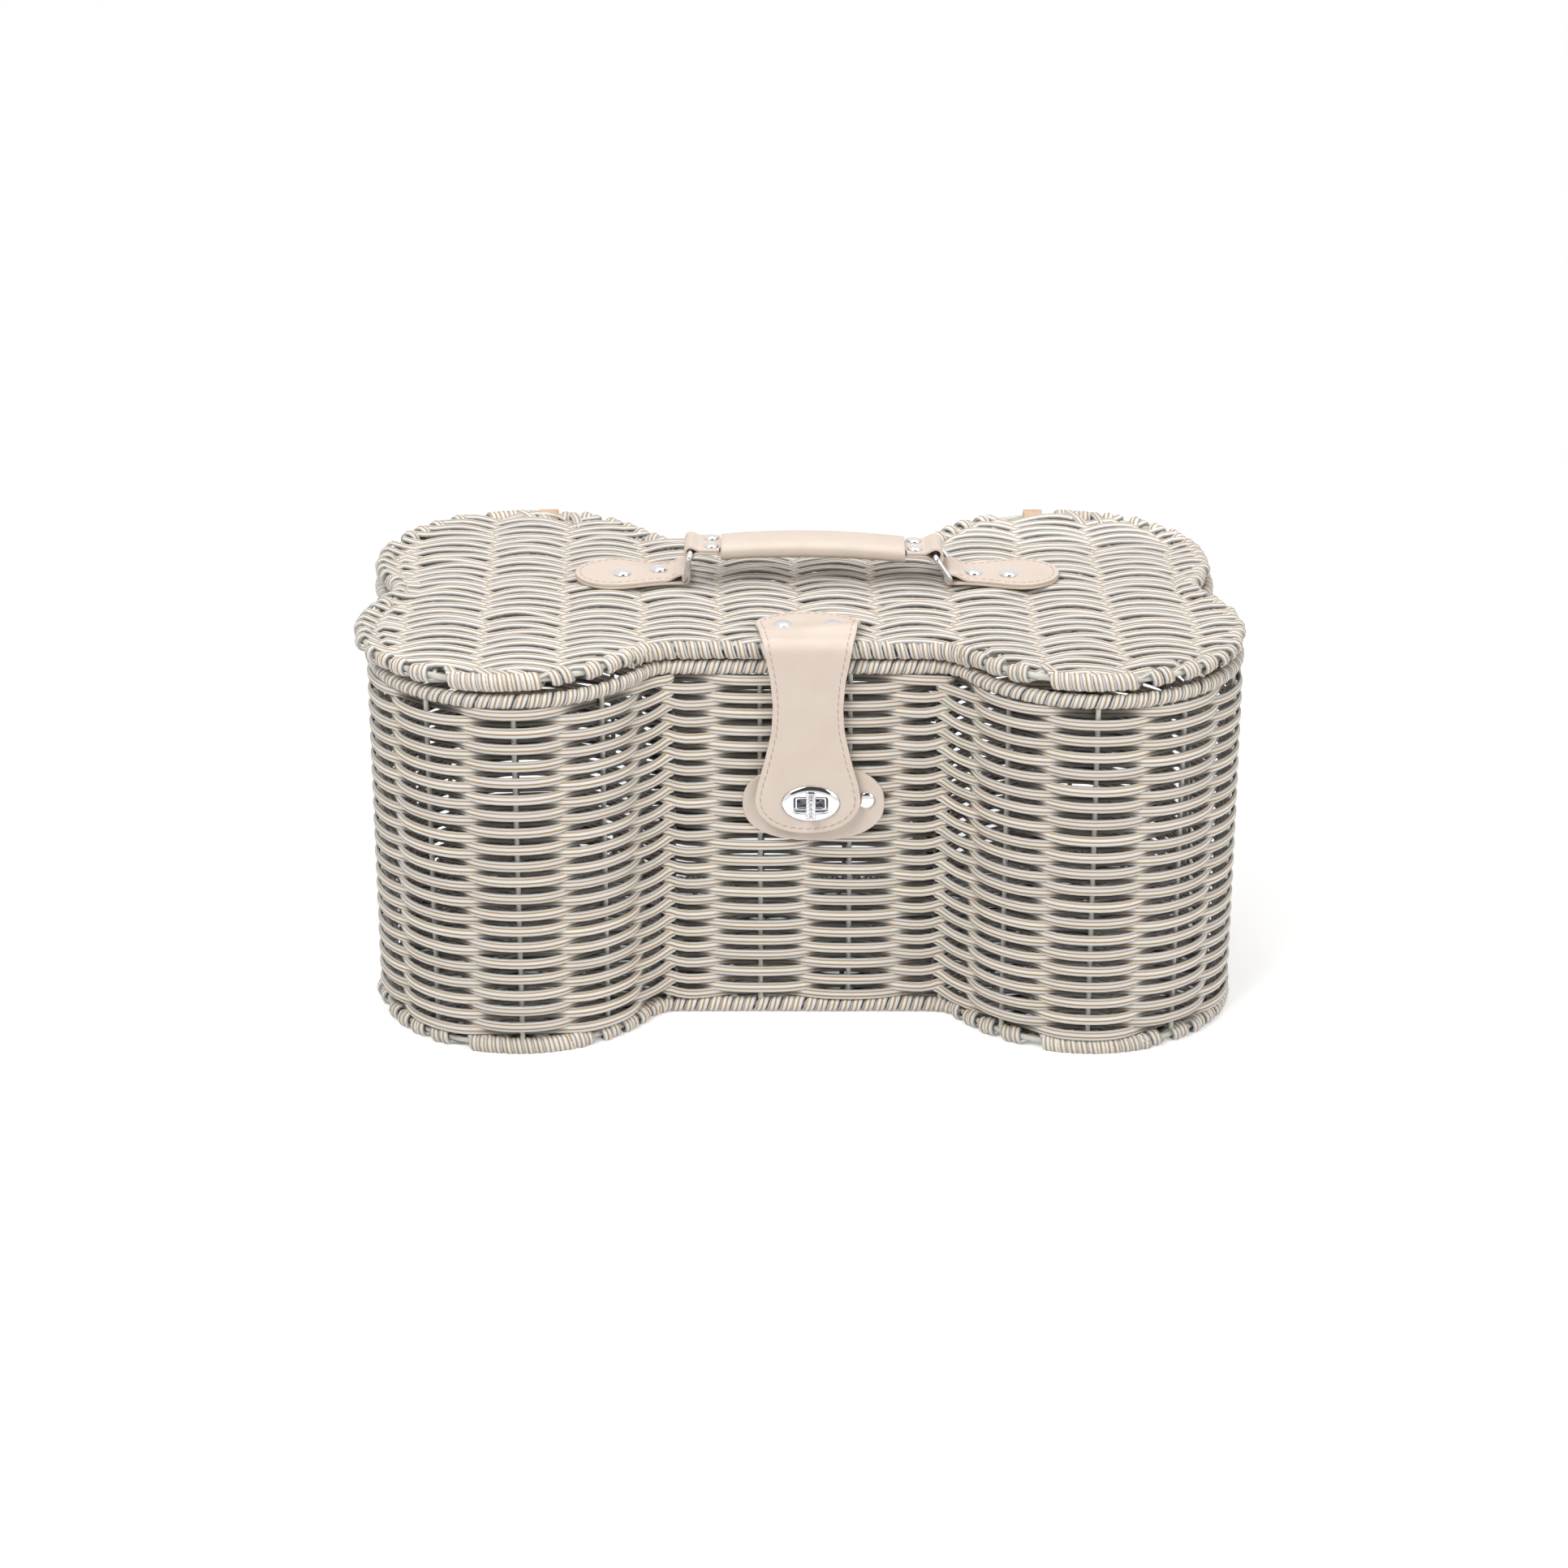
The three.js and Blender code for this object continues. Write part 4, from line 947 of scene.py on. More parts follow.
@dataclass
class FlatWeave:
    """A base or a lid: strands that run along the basket, over and under bars, round a ring.

    The windings on its recesses can hang a little under the ring and stand loosely off its wire.
    """

    rim: Rim
    weave: Weave
    height: float
    bar_pitch: float = 42.1
    bar_count: int = 10
    bar_shift: float = 0.0
    bar_lean: float = 0.0
    row_pitch: float = 4.35
    seed: int = 3
    bow: float = 0.38
    direction: int = 1
    hang: float = 0.0
    loose: float = 0.1
    bare: Pairs = ()
    recess: float = 79.0
    edge_room: float = 5.0
    turn_pitch: float = 5.6
    tuft_pitch: float = 6.3
    tuft_gap: Pair = (0.8, 3.5)
    tuft_ease: float = 0.8

    def bars(self) -> list[Path]:
        """The paths of the bars, from the front of the ring to its back."""
        found = []
        for index in range(self.bar_count):
            x = self.bar_shift + (index - (self.bar_count - 1) / 2) * self.bar_pitch
            front = x + self.bar_lean * self.recess
            back = x - self.bar_lean * self.recess
            start = (front, self._edge(front, -1), self.height)
            found.append(straight_wire(start, (back, self._edge(back, 1), self.height)))
        return found

    def _edge(self, x: float, half: int) -> float:
        """The y of the ring at an x, on its front or back half."""
        points = self.rim.points
        near = points[(np.abs(points[:, 0] - x) < 0.6) & (points[:, 1] * half > 0)]
        return float(near[np.argmax(near[:, 1] * half), 1])

    def strands(self) -> list[Path]:
        """Every strand, turned round the ring from row to row."""
        rng = np.random.default_rng(self.seed)
        reach = float(self.rim.points[:, 1].max()) - self.edge_room
        count = int(2 * reach / self.row_pitch)
        heights = (np.arange(count) - (count - 1) / 2) * (2 * reach / (count - 1))
        runs: dict[tuple[int, int], list[tuple[int, float, list[Pair]]]] = {}
        for row, y in enumerate(heights):
            hits = self.rim.crossings(float(y))
            pairs = [hits[0:2]] if len(hits) == 2 else [hits[0:2], hits[2:4]]
            zone = 0 if len(hits) == 2 else (-1 if y < 0 else 1)
            for side, pair in enumerate(pairs):
                runs.setdefault((zone, side), []).append((row, float(y), pair))
        return [self._serpent(rows, rng) for rows in runs.values()] + self._tips(heights, rng)

    def _phase(self, x: Array, y: float) -> Array:
        """The count of bars passed at each x of a row."""
        middle = self.bar_shift - self.bar_lean * y
        return (x - middle) / self.bar_pitch + (self.bar_count - 1) / 2

    def _serpent(self, rows: list[tuple[int, float, list[Pair]]], rng: np.random.Generator) -> Path:
        """Join rows into one strand.

        Args:
            rows: Each row's number, place and ends.
            rng: The source of unevenness.

        Returns:
            The strand's path.
        """
        points, faces, phases, grips = [], [], [], []
        radius = self.weave.winding
        for index, (row, y, ends) in enumerate(rows):
            rightward = index % 2 == 0
            first, last = (ends[0], ends[1]) if rightward else (ends[1], ends[0])
            level = radius if rightward else -radius
            span = abs(last[0] - first[0])
            count = max(4, round(span / self.weave.step))
            x = np.linspace(first[0], last[0], count)
            edge = np.minimum(np.abs(x - first[0]), np.abs(x - last[0]))
            grip = smooth_step(edge / min(12.0, span / 3))
            z = self.height + (1.0 - grip) * level
            sway = rng.normal(0.0, 0.25)
            points.append(np.stack([x, np.full(count, y + sway), z], axis=1))
            faces.append(repeated(UP if rightward else -UP, count))
            passed = self._phase(x, y)
            knots = np.arange(-1, self.bar_count + 1)
            uneven = np.interp(passed, knots, rng.normal(1.06, 0.11, len(knots)))
            strayed = np.interp(passed, knots, rng.normal(0.0, 0.055, len(knots)))
            phases.append(passed + strayed + row)
            grips.append(grip * uneven)
            if index + 1 < len(rows):
                after = rows[index + 1][2]
                there = after[1] if rightward else after[0]
                turned = self._hook(last[1], there[1], rightward, rng)
                points.append(turned.points)
                faces.append(turned.faces)
                phases.append(np.full(len(turned.points), phases[-1][-1]))
                grips.append(np.zeros(len(turned.points)))
        return Path(
            points=np.concatenate(points), faces=np.concatenate(faces),
            out=repeated((0.0, self.bow, 1.0), sum(len(one) for one in points)),
            phase=np.concatenate(phases), grip=np.concatenate(grips), tone=float(rng.uniform()),
        )

    def _hook(self, start: float, end: float, from_top: bool, rng: np.random.Generator) -> Path:
        """The turns of a strand round the ring at the end of a row.

        Args:
            start: Where it reaches the ring.
            end: Where it leaves it.
            from_top: Whether it comes over the wire or under it.
            rng: The source of unevenness.

        Returns:
            The turns' path.
        """
        half = self.rim.length / 2
        gap = (end - start + half) % self.rim.length - half
        most = int(abs(gap) / self.turn_pitch)
        turns = int(rng.integers(1, most + 1)) if most else int(rng.uniform() < 0.35)
        sweep = math.pi + 2 * math.pi * turns
        count = 6 + 10 * turns
        share = np.linspace(0.0, 1.0, count + 2)[1:-1]
        way = 1 if from_top else -1
        angle = way * (math.pi / 2 - sweep * share)
        reach = abs(gap) if not turns else min(abs(gap), 6.0 * (turns + 0.6))
        reach = max(reach, 3.6 * (turns + 0.4))
        places = start + math.copysign(reach, gap) * share
        point, outward = self.rim.at(places)
        spoke = coiled(outward, angle)
        swell = float(rng.uniform(0.20, 0.46)) if turns else 0.62
        radius = self.weave.winding * (1.04 + swell * np.sin(math.pi * share))
        return Path(lift_to(point, self.height) + spoke * radius[:, None], spoke)

    def _tips(self, rows: Array, rng: np.random.Generator) -> list[Path]:
        """Short windings on the parts of the ring beyond the last rows, and on the recesses."""
        found = []
        for y in (float(rows[0]), float(rows[-1])):
            hits = self.rim.crossings(y)
            for pair in (hits[0:2], hits[2:4]):
                low, high = sorted((pair[0][1], pair[1][1]))
                found.extend(self._tufts(low + 4.0, high - 4.0, rng))
        length = self.rim.length
        front = (self.rim.marks[9][0] + 2.0, self.rim.marks[0][1] + length - 2.0)
        back = (self.rim.marks[4][0] + 2.0, self.rim.marks[5][1] - 2.0)
        for start, end in (front, back):
            winding = winding_path(
                self.rim, self.height, start, end, self.weave, rng, self.direction, self.loose
            )
            found.append(winding.lifted(-self.hang))
        return found

    def _tufts(self, start: float, end: float, rng: np.random.Generator) -> list[Path]:
        """Strands that come from the weave, wind round the ring a few times and go back.

        Args:
            start: Where the stretch starts along the ring.
            end: Where it ends.
            rng: The source of unevenness.

        Returns:
            The strands' paths.
        """
        found = []
        place = start
        while place < end - 8.0:
            turns = int(rng.integers(1, 4))
            reach = self.tuft_pitch * turns
            if any(low < place + reach and place < high for low, high in self.bare):
                place += 4.0
                continue
            count = 10 * turns + 6
            share = np.linspace(0.0, 1.0, count)
            angle = math.pi / 2 - (math.pi + 2 * math.pi * turns) * share
            point, outward = self.rim.at(place + reach * share)
            spoke = coiled(outward, angle)
            ease = self.tuft_ease
            coil = lift_to(point, self.height - ease) + spoke * (self.weave.winding + ease)
            tails = []
            inward = np.array([4.0, 9.0, 15.0])
            for end_place, level, lean in ((place, 1.0, -1.0), (place + reach, -1.0, 1.0)):
                base_point, base_out = self.rim.at(end_place + lean * inward * 0.8)
                rise = np.array([1.0, 0.75, 0.1]) * self.weave.winding * level
                tails.append(lift_to(base_point - base_out * inward[:, None], self.height + rise))
            points = np.concatenate([tails[0][::-1], coil, tails[1]])
            faces = np.concatenate([repeated(UP, 3), spoke, repeated(-UP, 3)])
            found.append(Path(points, faces, tone=float(rng.uniform())))
            place += reach + float(rng.uniform(*self.tuft_gap))
        return found


@dataclass
class Woven:
    """What the basket and the lid share: how strands and wires become pieces."""

    finishes: Finishes
    sweeper: SweptStrand
    weave: Weave = field(default_factory=Weave)
    hinges: Pair = (-146.5, 132.0)
    hinge_y: float = 128.0
    hinge_half: float = 5.8

    def strands(
        self, name: str, paths: list[Path], material: Material, slack: float = 0.0, **ways: float
    ) -> Object:
        """Make strands that stand some slack off their wires and stray as sweep takes it."""
        size = (self.weave.width, self.weave.thickness, self.weave.lift + slack)
        return self.sweeper.sweep(name, paths, material, *size, **ways)

    def wires(self, name: str, rings: list[Path], bars: list[Path]) -> Object:
        """Make rings of the thicker wire and bars of the thinner wire as one piece."""
        thick = 2 * self.weave.ring_wire
        for bar in bars:
            bar.girth = np.full(len(bar.points), self.weave.stake_wire / self.weave.ring_wire)
        return self.sweeper.sweep(name, rings + bars, self.finishes.wire, thick, thick)

    def hinge_places(self, rim: Rim) -> list[float]:
        """Where the hinge loops lie along a ring."""
        return [rim.nearest(x, self.hinge_y) for x in self.hinges]


@dataclass
class Basket(Woven):
    """The basket: a wire frame, four woven walls, a woven base and two wrapped rings."""

    plan: Plan = Plan(((154.0, -51.6), (148.0, 51.6), (-159.0, 51.6), (-154.0, -51.6)))
    base: float = 4.1
    rim_height: float = 202.5
    rows: int = 40
    edge_rows: float = 6.77
    front_stakes: tuple[float, ...] = (-38.2, -1.8, 34.6, 71.0, 100.0)
    back_stakes: tuple[float, ...] = (-38.2, 8.0, 39.5, 71.0, 100.0)
    recess_stake: float = 24.0
    corner_stake: float = 5.0
    climbs: dict[bool, float] = field(default_factory=lambda: {True: 4.2, False: 3.0})
    climb_reach: float = 15.0
    climb_rows: int = 3
    hook_turns: tuple[float, ...] = (30.0, 60.0, 90.0, 120.0, 150.0)
    hook_girths: tuple[float, ...] = (0.97, 0.8, 0.42, 0.35, 0.35)
    hook_reach: float = 1.7
    hook_rise: float = 0.9
    tail_reaches: Pair = (2.5, 5.0)
    tail_phases: Pair = (0.3, 0.6)
    tail_girths: Pair = (0.9, 0.45)

    def __post_init__(self) -> None:
        """Measure the ring."""
        self.rim = Rim(self.plan)
        self.floor = FlatWeave(self.rim, self.weave, self.base, row_pitch=4.6, seed=21)

    def corners(self) -> list[float]:
        """Where the uprights of the inner corners stand along the ring."""
        marks, reach = self.rim.marks, self.corner_stake
        return [marks[0][0] + reach, marks[4][1] - reach, marks[5][0] + reach, marks[9][1] - reach]

    def stakes(self) -> Array:
        """The plan place of each upright."""
        found = []
        for x, y in self.plan.lobes:
            angles = self.front_stakes if y < 0 else self.back_stakes
            for angle in np.radians(angles):
                across = math.copysign(self.plan.lobe_radius, x) * math.sin(angle)
                out = math.copysign(self.plan.lobe_radius, y) * math.cos(angle)
                found.append((x + across, y + out))
        notches = [self.rim.corner(index) for index in (2, 7)]
        points, _ = self.rim.at(np.array(self.corners() + notches))
        found.extend(tuple(point) for point in points)
        for side in (-1, 1):
            for half in (-1, 1):
                found.append((side * self.recess_stake, half * self.plan.recess))
        return np.array(found)

    def wall(self, name: str, start: float, end: float, seed: int, hooked: bool) -> Object:
        """Weave one wall panel.

        Args:
            name: The panel's name.
            start: Where it starts along the ring.
            end: Where it ends.
            seed: Sets its unevenness.
            hooked: Whether its strands turn round its end uprights, as those of the lobes do.

        Returns:
            The panel.
        """
        rng = np.random.default_rng(seed)
        length = self.rim.length
        stakes = sorted(self.rim.nearest(x, y) for x, y in self.stakes())
        rail = np.array([place + turn * length for turn in (-1, 0, 1, 2) for place in stakes])
        order = np.arange(len(rail), dtype=float)
        ends = [int(np.argmin(np.abs(rail - place))) for place in (start, end)]
        low = self.base + self.edge_rows
        high = self.rim_height - self.edge_rows
        paths = []
        for row in range(self.rows):
            count = round((end - start) / self.weave.step)
            places = np.linspace(rail[ends[0]], rail[ends[1]], count)
            point, outward = self.rim.at(places)
            height = low + (high - low) * row / (self.rows - 1) + rng.normal(0.0, 0.25)
            over = row if hooked else row + 1
            climb = self.climbs[hooked] * min(1.0, (self.rows - 1 - row) / self.climb_rows)
            near = np.minimum(places - places[0], places[-1] - places)
            rise = climb * np.clip(1.0 - near / self.climb_reach, 0.0, 1.0) ** 2
            turns = [self._end(rail[one], one + over, side, hooked) for one, side in zip(ends, (-1, 1))]
            face = lift_to(outward, 0.0)
            phase = np.interp(places, rail, order) + over
            even, tone = np.ones(count), float(rng.uniform())
            path = Path(lift_to(point, height + rise), face, phase, face, even, even, tone)
            first, last = (turn.lifted(height + climb) for turn in turns)
            paths.append(joined(first, path, last))
        ways = {"slack": self.weave.slack, "wander": 0.3, "seed": seed}
        return self.strands(name, paths, self.finishes.strand, **ways)

    def _end(self, place: float, order: int, side: int, hooked: bool) -> Path:
        """The end of a wall's strand at a corner upright, where it grows thinner.

        Args:
            place: The upright's place along the ring.
            order: Even where the strand passes in front of the upright.
            side: 1 where the strand leaves the wall forwards along the ring, and -1 backwards.
            hooked: Whether the strand turns round the upright, or runs past it and stops.

        Returns:
            The end's path, at height 0 and in the strand's own order.
        """
        if hooked and order % 2 == 0:
            turn = np.radians(self.hook_turns)
            reach = side * self.hook_reach * self.weave.lift * np.sin(turn)
            phase, girth = turn / math.pi, np.array(self.hook_girths)
        else:
            turn = np.zeros(len(self.tail_reaches))
            reach = side * np.array(self.tail_reaches)
            phase, girth = np.array(self.tail_phases), np.array(self.tail_girths)
        point, outward = self.rim.at(place + reach)
        along = np.column_stack([-outward[:, 1], outward[:, 0]]) * side
        face = outward * np.cos(turn)[:, None] + along * np.sin(turn)[:, None]
        rows = slice(None, None, side)
        return Path(
            points=lift_to(point, self.hook_rise * np.sin(turn))[rows], faces=lift_to(face, 0.0)[rows],
            out=lift_to(outward, 0.0)[rows], phase=(order + phase)[rows], grip=np.ones(len(turn)),
            girth=girth[rows],
        )

    def frame(self) -> Object:
        """Weld the rings, the uprights and the base's bars."""
        stakes = [straight_wire((x, y, self.base), (x, y, self.rim_height)) for x, y in self.stakes()]
        rings = [wire_ring(self.rim, height) for height in (self.base, self.rim_height)]
        return self.wires("basket_wires", rings, stakes + self.floor.bars())

    def build(self) -> None:
        """Make every piece of the basket's body."""
        settle(self.frame(), Body.BASKET, Slot.WIRE, "body_wire_frame")
        front_right, back_right, back_left, front_left = self.corners()
        spans = {
            "right": (front_right, back_right), "back": (back_right, back_left),
            "left": (back_left, front_left), "front": (front_left, front_right + self.rim.length),
        }
        for index, (side, (start, end)) in enumerate(spans.items()):
            piece = self.wall(f"wall_{side}", start, end, 11 + index, side in ("left", "right"))
            settle(piece, Body.BASKET, Slot.STRAND, f"side_weave_{side}")
        rng = np.random.default_rng(5)
        stops = sorted(self.hinge_places(self.rim))
        half = self.hinge_half
        runs = ((stops[0] + half, stops[1] - half), (stops[1] + half, stops[0] + self.rim.length - half))
        wraps = [
            winding_path(self.rim, self.rim_height, start, end, self.weave, rng)
            for start, end in runs
        ]
        size = (self.weave.wrap_width, self.weave.wrap_thickness)
        rim = self.sweeper.sweep("rim_wrapping", wraps, self.finishes.strand, *size)
        settle(rim, Body.BASKET, Slot.STRAND, "body_rim_wrap_front", "body_rim_wrap_back")
        paths = self.floor.strands()
        floor = self.strands("base_weaving", paths, self.finishes.strand, wander=0.4, seed=31)
        settle(floor, Body.BASKET, Slot.STRAND, "base_weave", "base_rim_wrap")


@dataclass
class Lid(Woven):
    """The lid: a wire frame and its weave, turned and wound round the outline wire."""

    plan: Plan = Plan(((152.5, -51.6), (144.0, 51.6), (-156.5, 51.6), (-158.5, -51.6)), corner=32.0)
    height: float = 214.0

    def __post_init__(self) -> None:
        """Measure the ring and lay out the weave."""
        self.rim = Rim(self.plan)
        half = self.hinge_half
        bare = tuple((place - half, place + half) for place in self.hinge_places(self.rim))
        self.top = FlatWeave(
            self.rim, self.weave, self.height, bar_shift=-4.9, bar_lean=0.0244, seed=8,
            direction=-1, hang=1.9, loose=0.9, bare=bare,
        )

    def build(self) -> None:
        """Make the lid's frame and its weave."""
        frame = self.wires("lid_wires", [wire_ring(self.rim, self.height)], self.top.bars())
        settle(frame, Body.LID, Slot.WIRE, "lid_wire_frame")
        ways = {"wander": 0.6, "seed": 17, "flatness": 0.6}
        paths = self.top.strands()
        woven = self.strands("lid_weaving", paths, self.finishes.top_strand, **ways)
        settle(woven, Body.LID, Slot.STRAND, "lid_weave", "lid_rim_wrap_front", "lid_rim_wrap_back")


def settle(piece: Object, body: Body, slot: Slot, *nodes: str) -> None:
    """Attach a finished piece to its body, and hide the solids that it stands for.

    Args:
        piece: The piece.
        body: The body that it moves with.
        slot: The record's material slot; not used.
        *nodes: The solids that it replaces.
    """
    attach(piece, body.value)
    if nodes:
        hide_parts(*nodes)
    LOG.info("%s rides on %s", piece.name, body.value)


# Leather


def resampled(line: Array, step: float, closed: bool) -> Array:
    """Points at an even spacing along a line.

    Args:
        line: The line's points.
        step: The spacing, which is rounded to fit.
        closed: Whether the line's end joins its start.

    Returns:
        The new points, without the repeated one of a closed line.
    """
    whole = np.vstack([line, line[:1]]) if closed else line
    places = np.concatenate([[0.0], np.cumsum(np.linalg.norm(np.diff(whole, axis=0), axis=1))])
    count = max(3, round(places[-1] / step))
    found = between(np.linspace(0.0, places[-1], count + 1), places, whole)
    return found[:-1] if closed else found


def rounded(outline: Array, reach: float) -> Array:
    """Round off the corners of a closed outline.

    Args:
        outline: The outline's points.
        reach: How far along the outline a corner's rounding reaches.

    Returns:
        The rounded outline, with a point at each millimetre.
    """
    fine = 0.25
    points = resampled(outline, fine, True)
    half = max(1, round(reach / fine))
    total = sum(np.roll(points, shift, axis=0) for shift in range(-half, half + 1))
    return resampled(total / (2 * half + 1), 1.0, True)


def mirrored(side: Array) -> Array:
    """A closed outline from its right side, whose ends lie on the middle line."""
    return np.vstack([side, side[-2:0:-1] * np.array([-1.0, 1.0])])


def inset(outline: Array, distance: float) -> Array:
    """A closed anticlockwise outline moved inwards."""
    ahead = np.roll(outline, -1, axis=0) - np.roll(outline, 1, axis=0)
    inward = np.stack([-ahead[:, 1], ahead[:, 0]], axis=1)
    return outline + inward / np.linalg.norm(inward, axis=1, keepdims=True) * distance


def arc(centre: Sequence[float], radius: float, start: float, end: float) -> Array:
    """Points of an arc.

    Args:
        centre: Its centre.
        radius: Its radius.
        start: Its first angle in degrees.
        end: Its last angle.

    Returns:
        The points.
    """
    count = max(3, int(abs(end - start) / 7.5))
    angles = np.radians(np.linspace(start, end, count))
    return np.array(centre) + radius * np.stack([np.cos(angles), np.sin(angles)], axis=1)


def rounded_box(low: Sequence[float], high: Sequence[float], bend: float) -> Array:
    """The outline of a box with rounded corners, anticlockwise.

    Args:
        low: Its lower left corner.
        high: Its upper right corner.
        bend: The radius of its corners.

    Returns:
        The points of its four arcs.
    """
    left, bottom = low[0] + bend, low[1] + bend
    right, top = high[0] - bend, high[1] - bend
    centres = ((right, top), (left, top), (left, bottom), (right, bottom))
    return np.vstack([arc(one, bend, 90.0 * k, 90.0 * k + 90.0) for k, one in enumerate(centres)])


def squarish(angles: Array, fullness: float) -> tuple[Array, Array]:
    """The two coordinates of a circle whose corners are fuller above 2.0."""
    rows = (np.cos(angles), np.sin(angles))
    return tuple(np.sign(one) * np.abs(one) ** (2.0 / fullness) for one in rows)


def eased(reach: float, high: float, low: float, count: int) -> Array:
    """The line of leather that leaves a wire up high and comes down on other leather."""
    share = np.linspace(0.0, 1.0, count)[1:]
    return np.stack([share * reach, high - (high - low) * smooth_step(share)], axis=1)


@dataclass
class Fold:
    """A line in a plane, along which a flat piece is bent."""

    line: Array
    origin: Sequence[float]
    across: Sequence[float]
    forward: Sequence[float]
    upward: Sequence[float]
    longest_step: float = 4.0
    largest_turn: float = 9.0

    def __post_init__(self) -> None:
        """Measure the line."""
        self.line = resampled(np.asarray(self.line, dtype=float), 0.25, False)
        steps = np.diff(self.line, axis=0)
        self.places = np.concatenate([[0.0], np.cumsum(np.linalg.norm(steps, axis=1))])
        ahead = np.gradient(self.line, axis=0)
        half = 3
        padded = np.pad(ahead, ((half, half), (0, 0)), mode="edge")
        count = len(self.line)
        ahead = sum(padded[shift : shift + count] for shift in range(2 * half + 1))
        ahead /= np.linalg.norm(ahead, axis=1, keepdims=True)
        self.normals = np.stack([-ahead[:, 1], ahead[:, 0]], axis=1)
        self.length = float(self.places[-1])

    def put(self, flat: Array) -> Array:
        """Bend flat places.

        Args:
            flat: Rows of the place across, the place along and the height.

        Returns:
            The places in space.
        """
        along = flat[:, 1]
        line = between(along, self.places, self.line) + self.facing(along) * flat[:, 2:3]
        axes = np.array([self.across, self.forward, self.upward], dtype=float)
        across = np.array(self.origin) + flat[:, 0:1] * axes[0]
        return across + line[:, 0:1] * axes[1] + line[:, 1:2] * axes[2]

    def facing(self, along: Array) -> Array:
        """The direction that the upper side faces, in the fold's plane."""
        found = between(along, self.places, self.normals)
        return found / np.linalg.norm(found, axis=1, keepdims=True)

    def up(self, along: Array) -> Array:
        """The direction that the upper side faces, in space."""
        normal = self.facing(along)
        return normal[:, 0:1] * np.array(self.forward) + normal[:, 1:2] * np.array(self.upward)

    def rows(self) -> Array:
        """The places along the line where the piece needs an edge across it to bend smoothly."""
        angles = np.unwrap(np.arctan2(self.normals[:, 1], self.normals[:, 0]))
        turns = np.abs(np.diff(angles)) / math.radians(self.largest_turn)
        effort = turns + np.diff(self.places) / self.longest_step
        total = np.concatenate([[0.0], np.cumsum(effort)])
        return np.interp(np.arange(1, math.ceil(total[-1])), total, self.places)


@dataclass
class Hide:
    """A piece cut from leather, with round edges, and bent along a fold."""

    outline: Array
    fold: Fold
    thickness: float
    edge: float = 0.5
    holes: tuple[Array, ...] = ()
    columns: float = 6.0
    lift: Callable[[Array], Array] | None = None

    def put(self, flat: Array) -> Array:
        """Place flat points in space, with the piece's own buckling."""
        if self.lift is not None:
            flat = flat.copy()
            flat[:, 2] += self.lift(flat)
        return self.fold.put(flat)

    def build(self, name: str, material: Material) -> Object:
        """Make the piece.

        Args:
            name: Its name.
            material: Its material.

        Returns:
            The piece.
        """
        maker = bmesh.new()
        top, bottom = [], []
        for outline in (self.outline, *(hole[::-1] for hole in self.holes)):
            rings = self._rings(maker, outline)
            top.extend(self._loop(maker, rings[-1]))
            bottom.extend(self._loop(maker, rings[0]))
        for edges in (top, bottom):
            bmesh.ops.triangle_fill(maker, use_beauty=True, use_dissolve=False, edges=edges)
        low, high = self.outline[:, 0].min(), self.outline[:, 0].max()
        cuts = [((0.0, row, 0.0), (0.0, 1.0, 0.0)) for row in self.fold.rows()]
        count = max(2, round((high - low) / self.columns))
        for column in np.linspace(low, high, count + 1)[1:-1]:
            cuts.append(((column, 0.0, 0.0), (1.0, 0.0, 0.0)))
        for place, normal in cuts:
            everything = maker.verts[:] + maker.edges[:] + maker.faces[:]
            bmesh.ops.bisect_plane(maker, geom=everything, dist=1e-4, plane_co=place, plane_no=normal)
        flat = np.array([vert.co[:] for vert in maker.verts])
        for vert, place in zip(maker.verts, self.put(flat) * MM):
            vert.co = place
        return shaped(maker, name, material)

    def _rings(self, maker: bmesh.types.BMesh, outline: Array) -> list[list[bmesh.types.BMVert]]:
        """Make the round edge along an outline, from its lower side to its upper side."""
        half = self.thickness / 2
        turns = np.radians([90.0, 60.0, 30.0, 0.0])
        lower = [(self.edge * (1 - math.cos(a)), -half + self.edge * (1 - math.sin(a))) for a in turns]
        upper = [(distance, -height) for distance, height in reversed(lower)]
        inner = self.edge + 0.7
        profile = [(inner, -half), *lower, *upper, (inner, half)]
        rings = []
        for distance, height in profile:
            points = inset(outline, distance)
            rings.append([maker.verts.new((x, y, height)) for x, y in points])
        bridge(maker, zip(rings, rings[1:]))
        return rings

    @staticmethod
    def _loop(maker: bmesh.types.BMesh, ring: list[bmesh.types.BMVert]) -> list[bmesh.types.BMEdge]:
        """The edges of a ring of points."""
        return [maker.edges.get((a, b)) for a, b in zip(ring, ring[1:] + ring[:1])]

    def seam(self, distance: float, start: float = -1e3, end: float = 1e3) -> Path:
        """The line of a seam inside the edge, on the upper side.

        Args:
            distance: How far inside the edge it runs.
            start: Where along the fold it starts.
            end: Where along the fold it ends.

        Returns:
            The seam's path.
        """
        line = resampled(inset(self.outline, distance), 0.8, True)
        inside = (line[:, 1] >= start) & (line[:, 1] <= end)
        closed = bool(inside.all())
        if not closed:
            first = int(np.argmax(inside & ~np.roll(inside, 1)))
            line = np.roll(line, -first, axis=0)[np.roll(inside, -first)]
        flat = np.column_stack([line, np.full(len(line), self.thickness / 2)])
        return Path(self.put(flat), self.fold.up(line[:, 1]), closed=closed)


def bridge(maker: bmesh.types.BMesh, pairs: Iterable[tuple[list, list]]) -> None:
    """Add the faces between the rings of each pair."""
    for first, second in pairs:
        for index in range(len(first)):
            after = (index + 1) % len(first)
            maker.faces.new((first[index], first[after], second[after], second[index]))


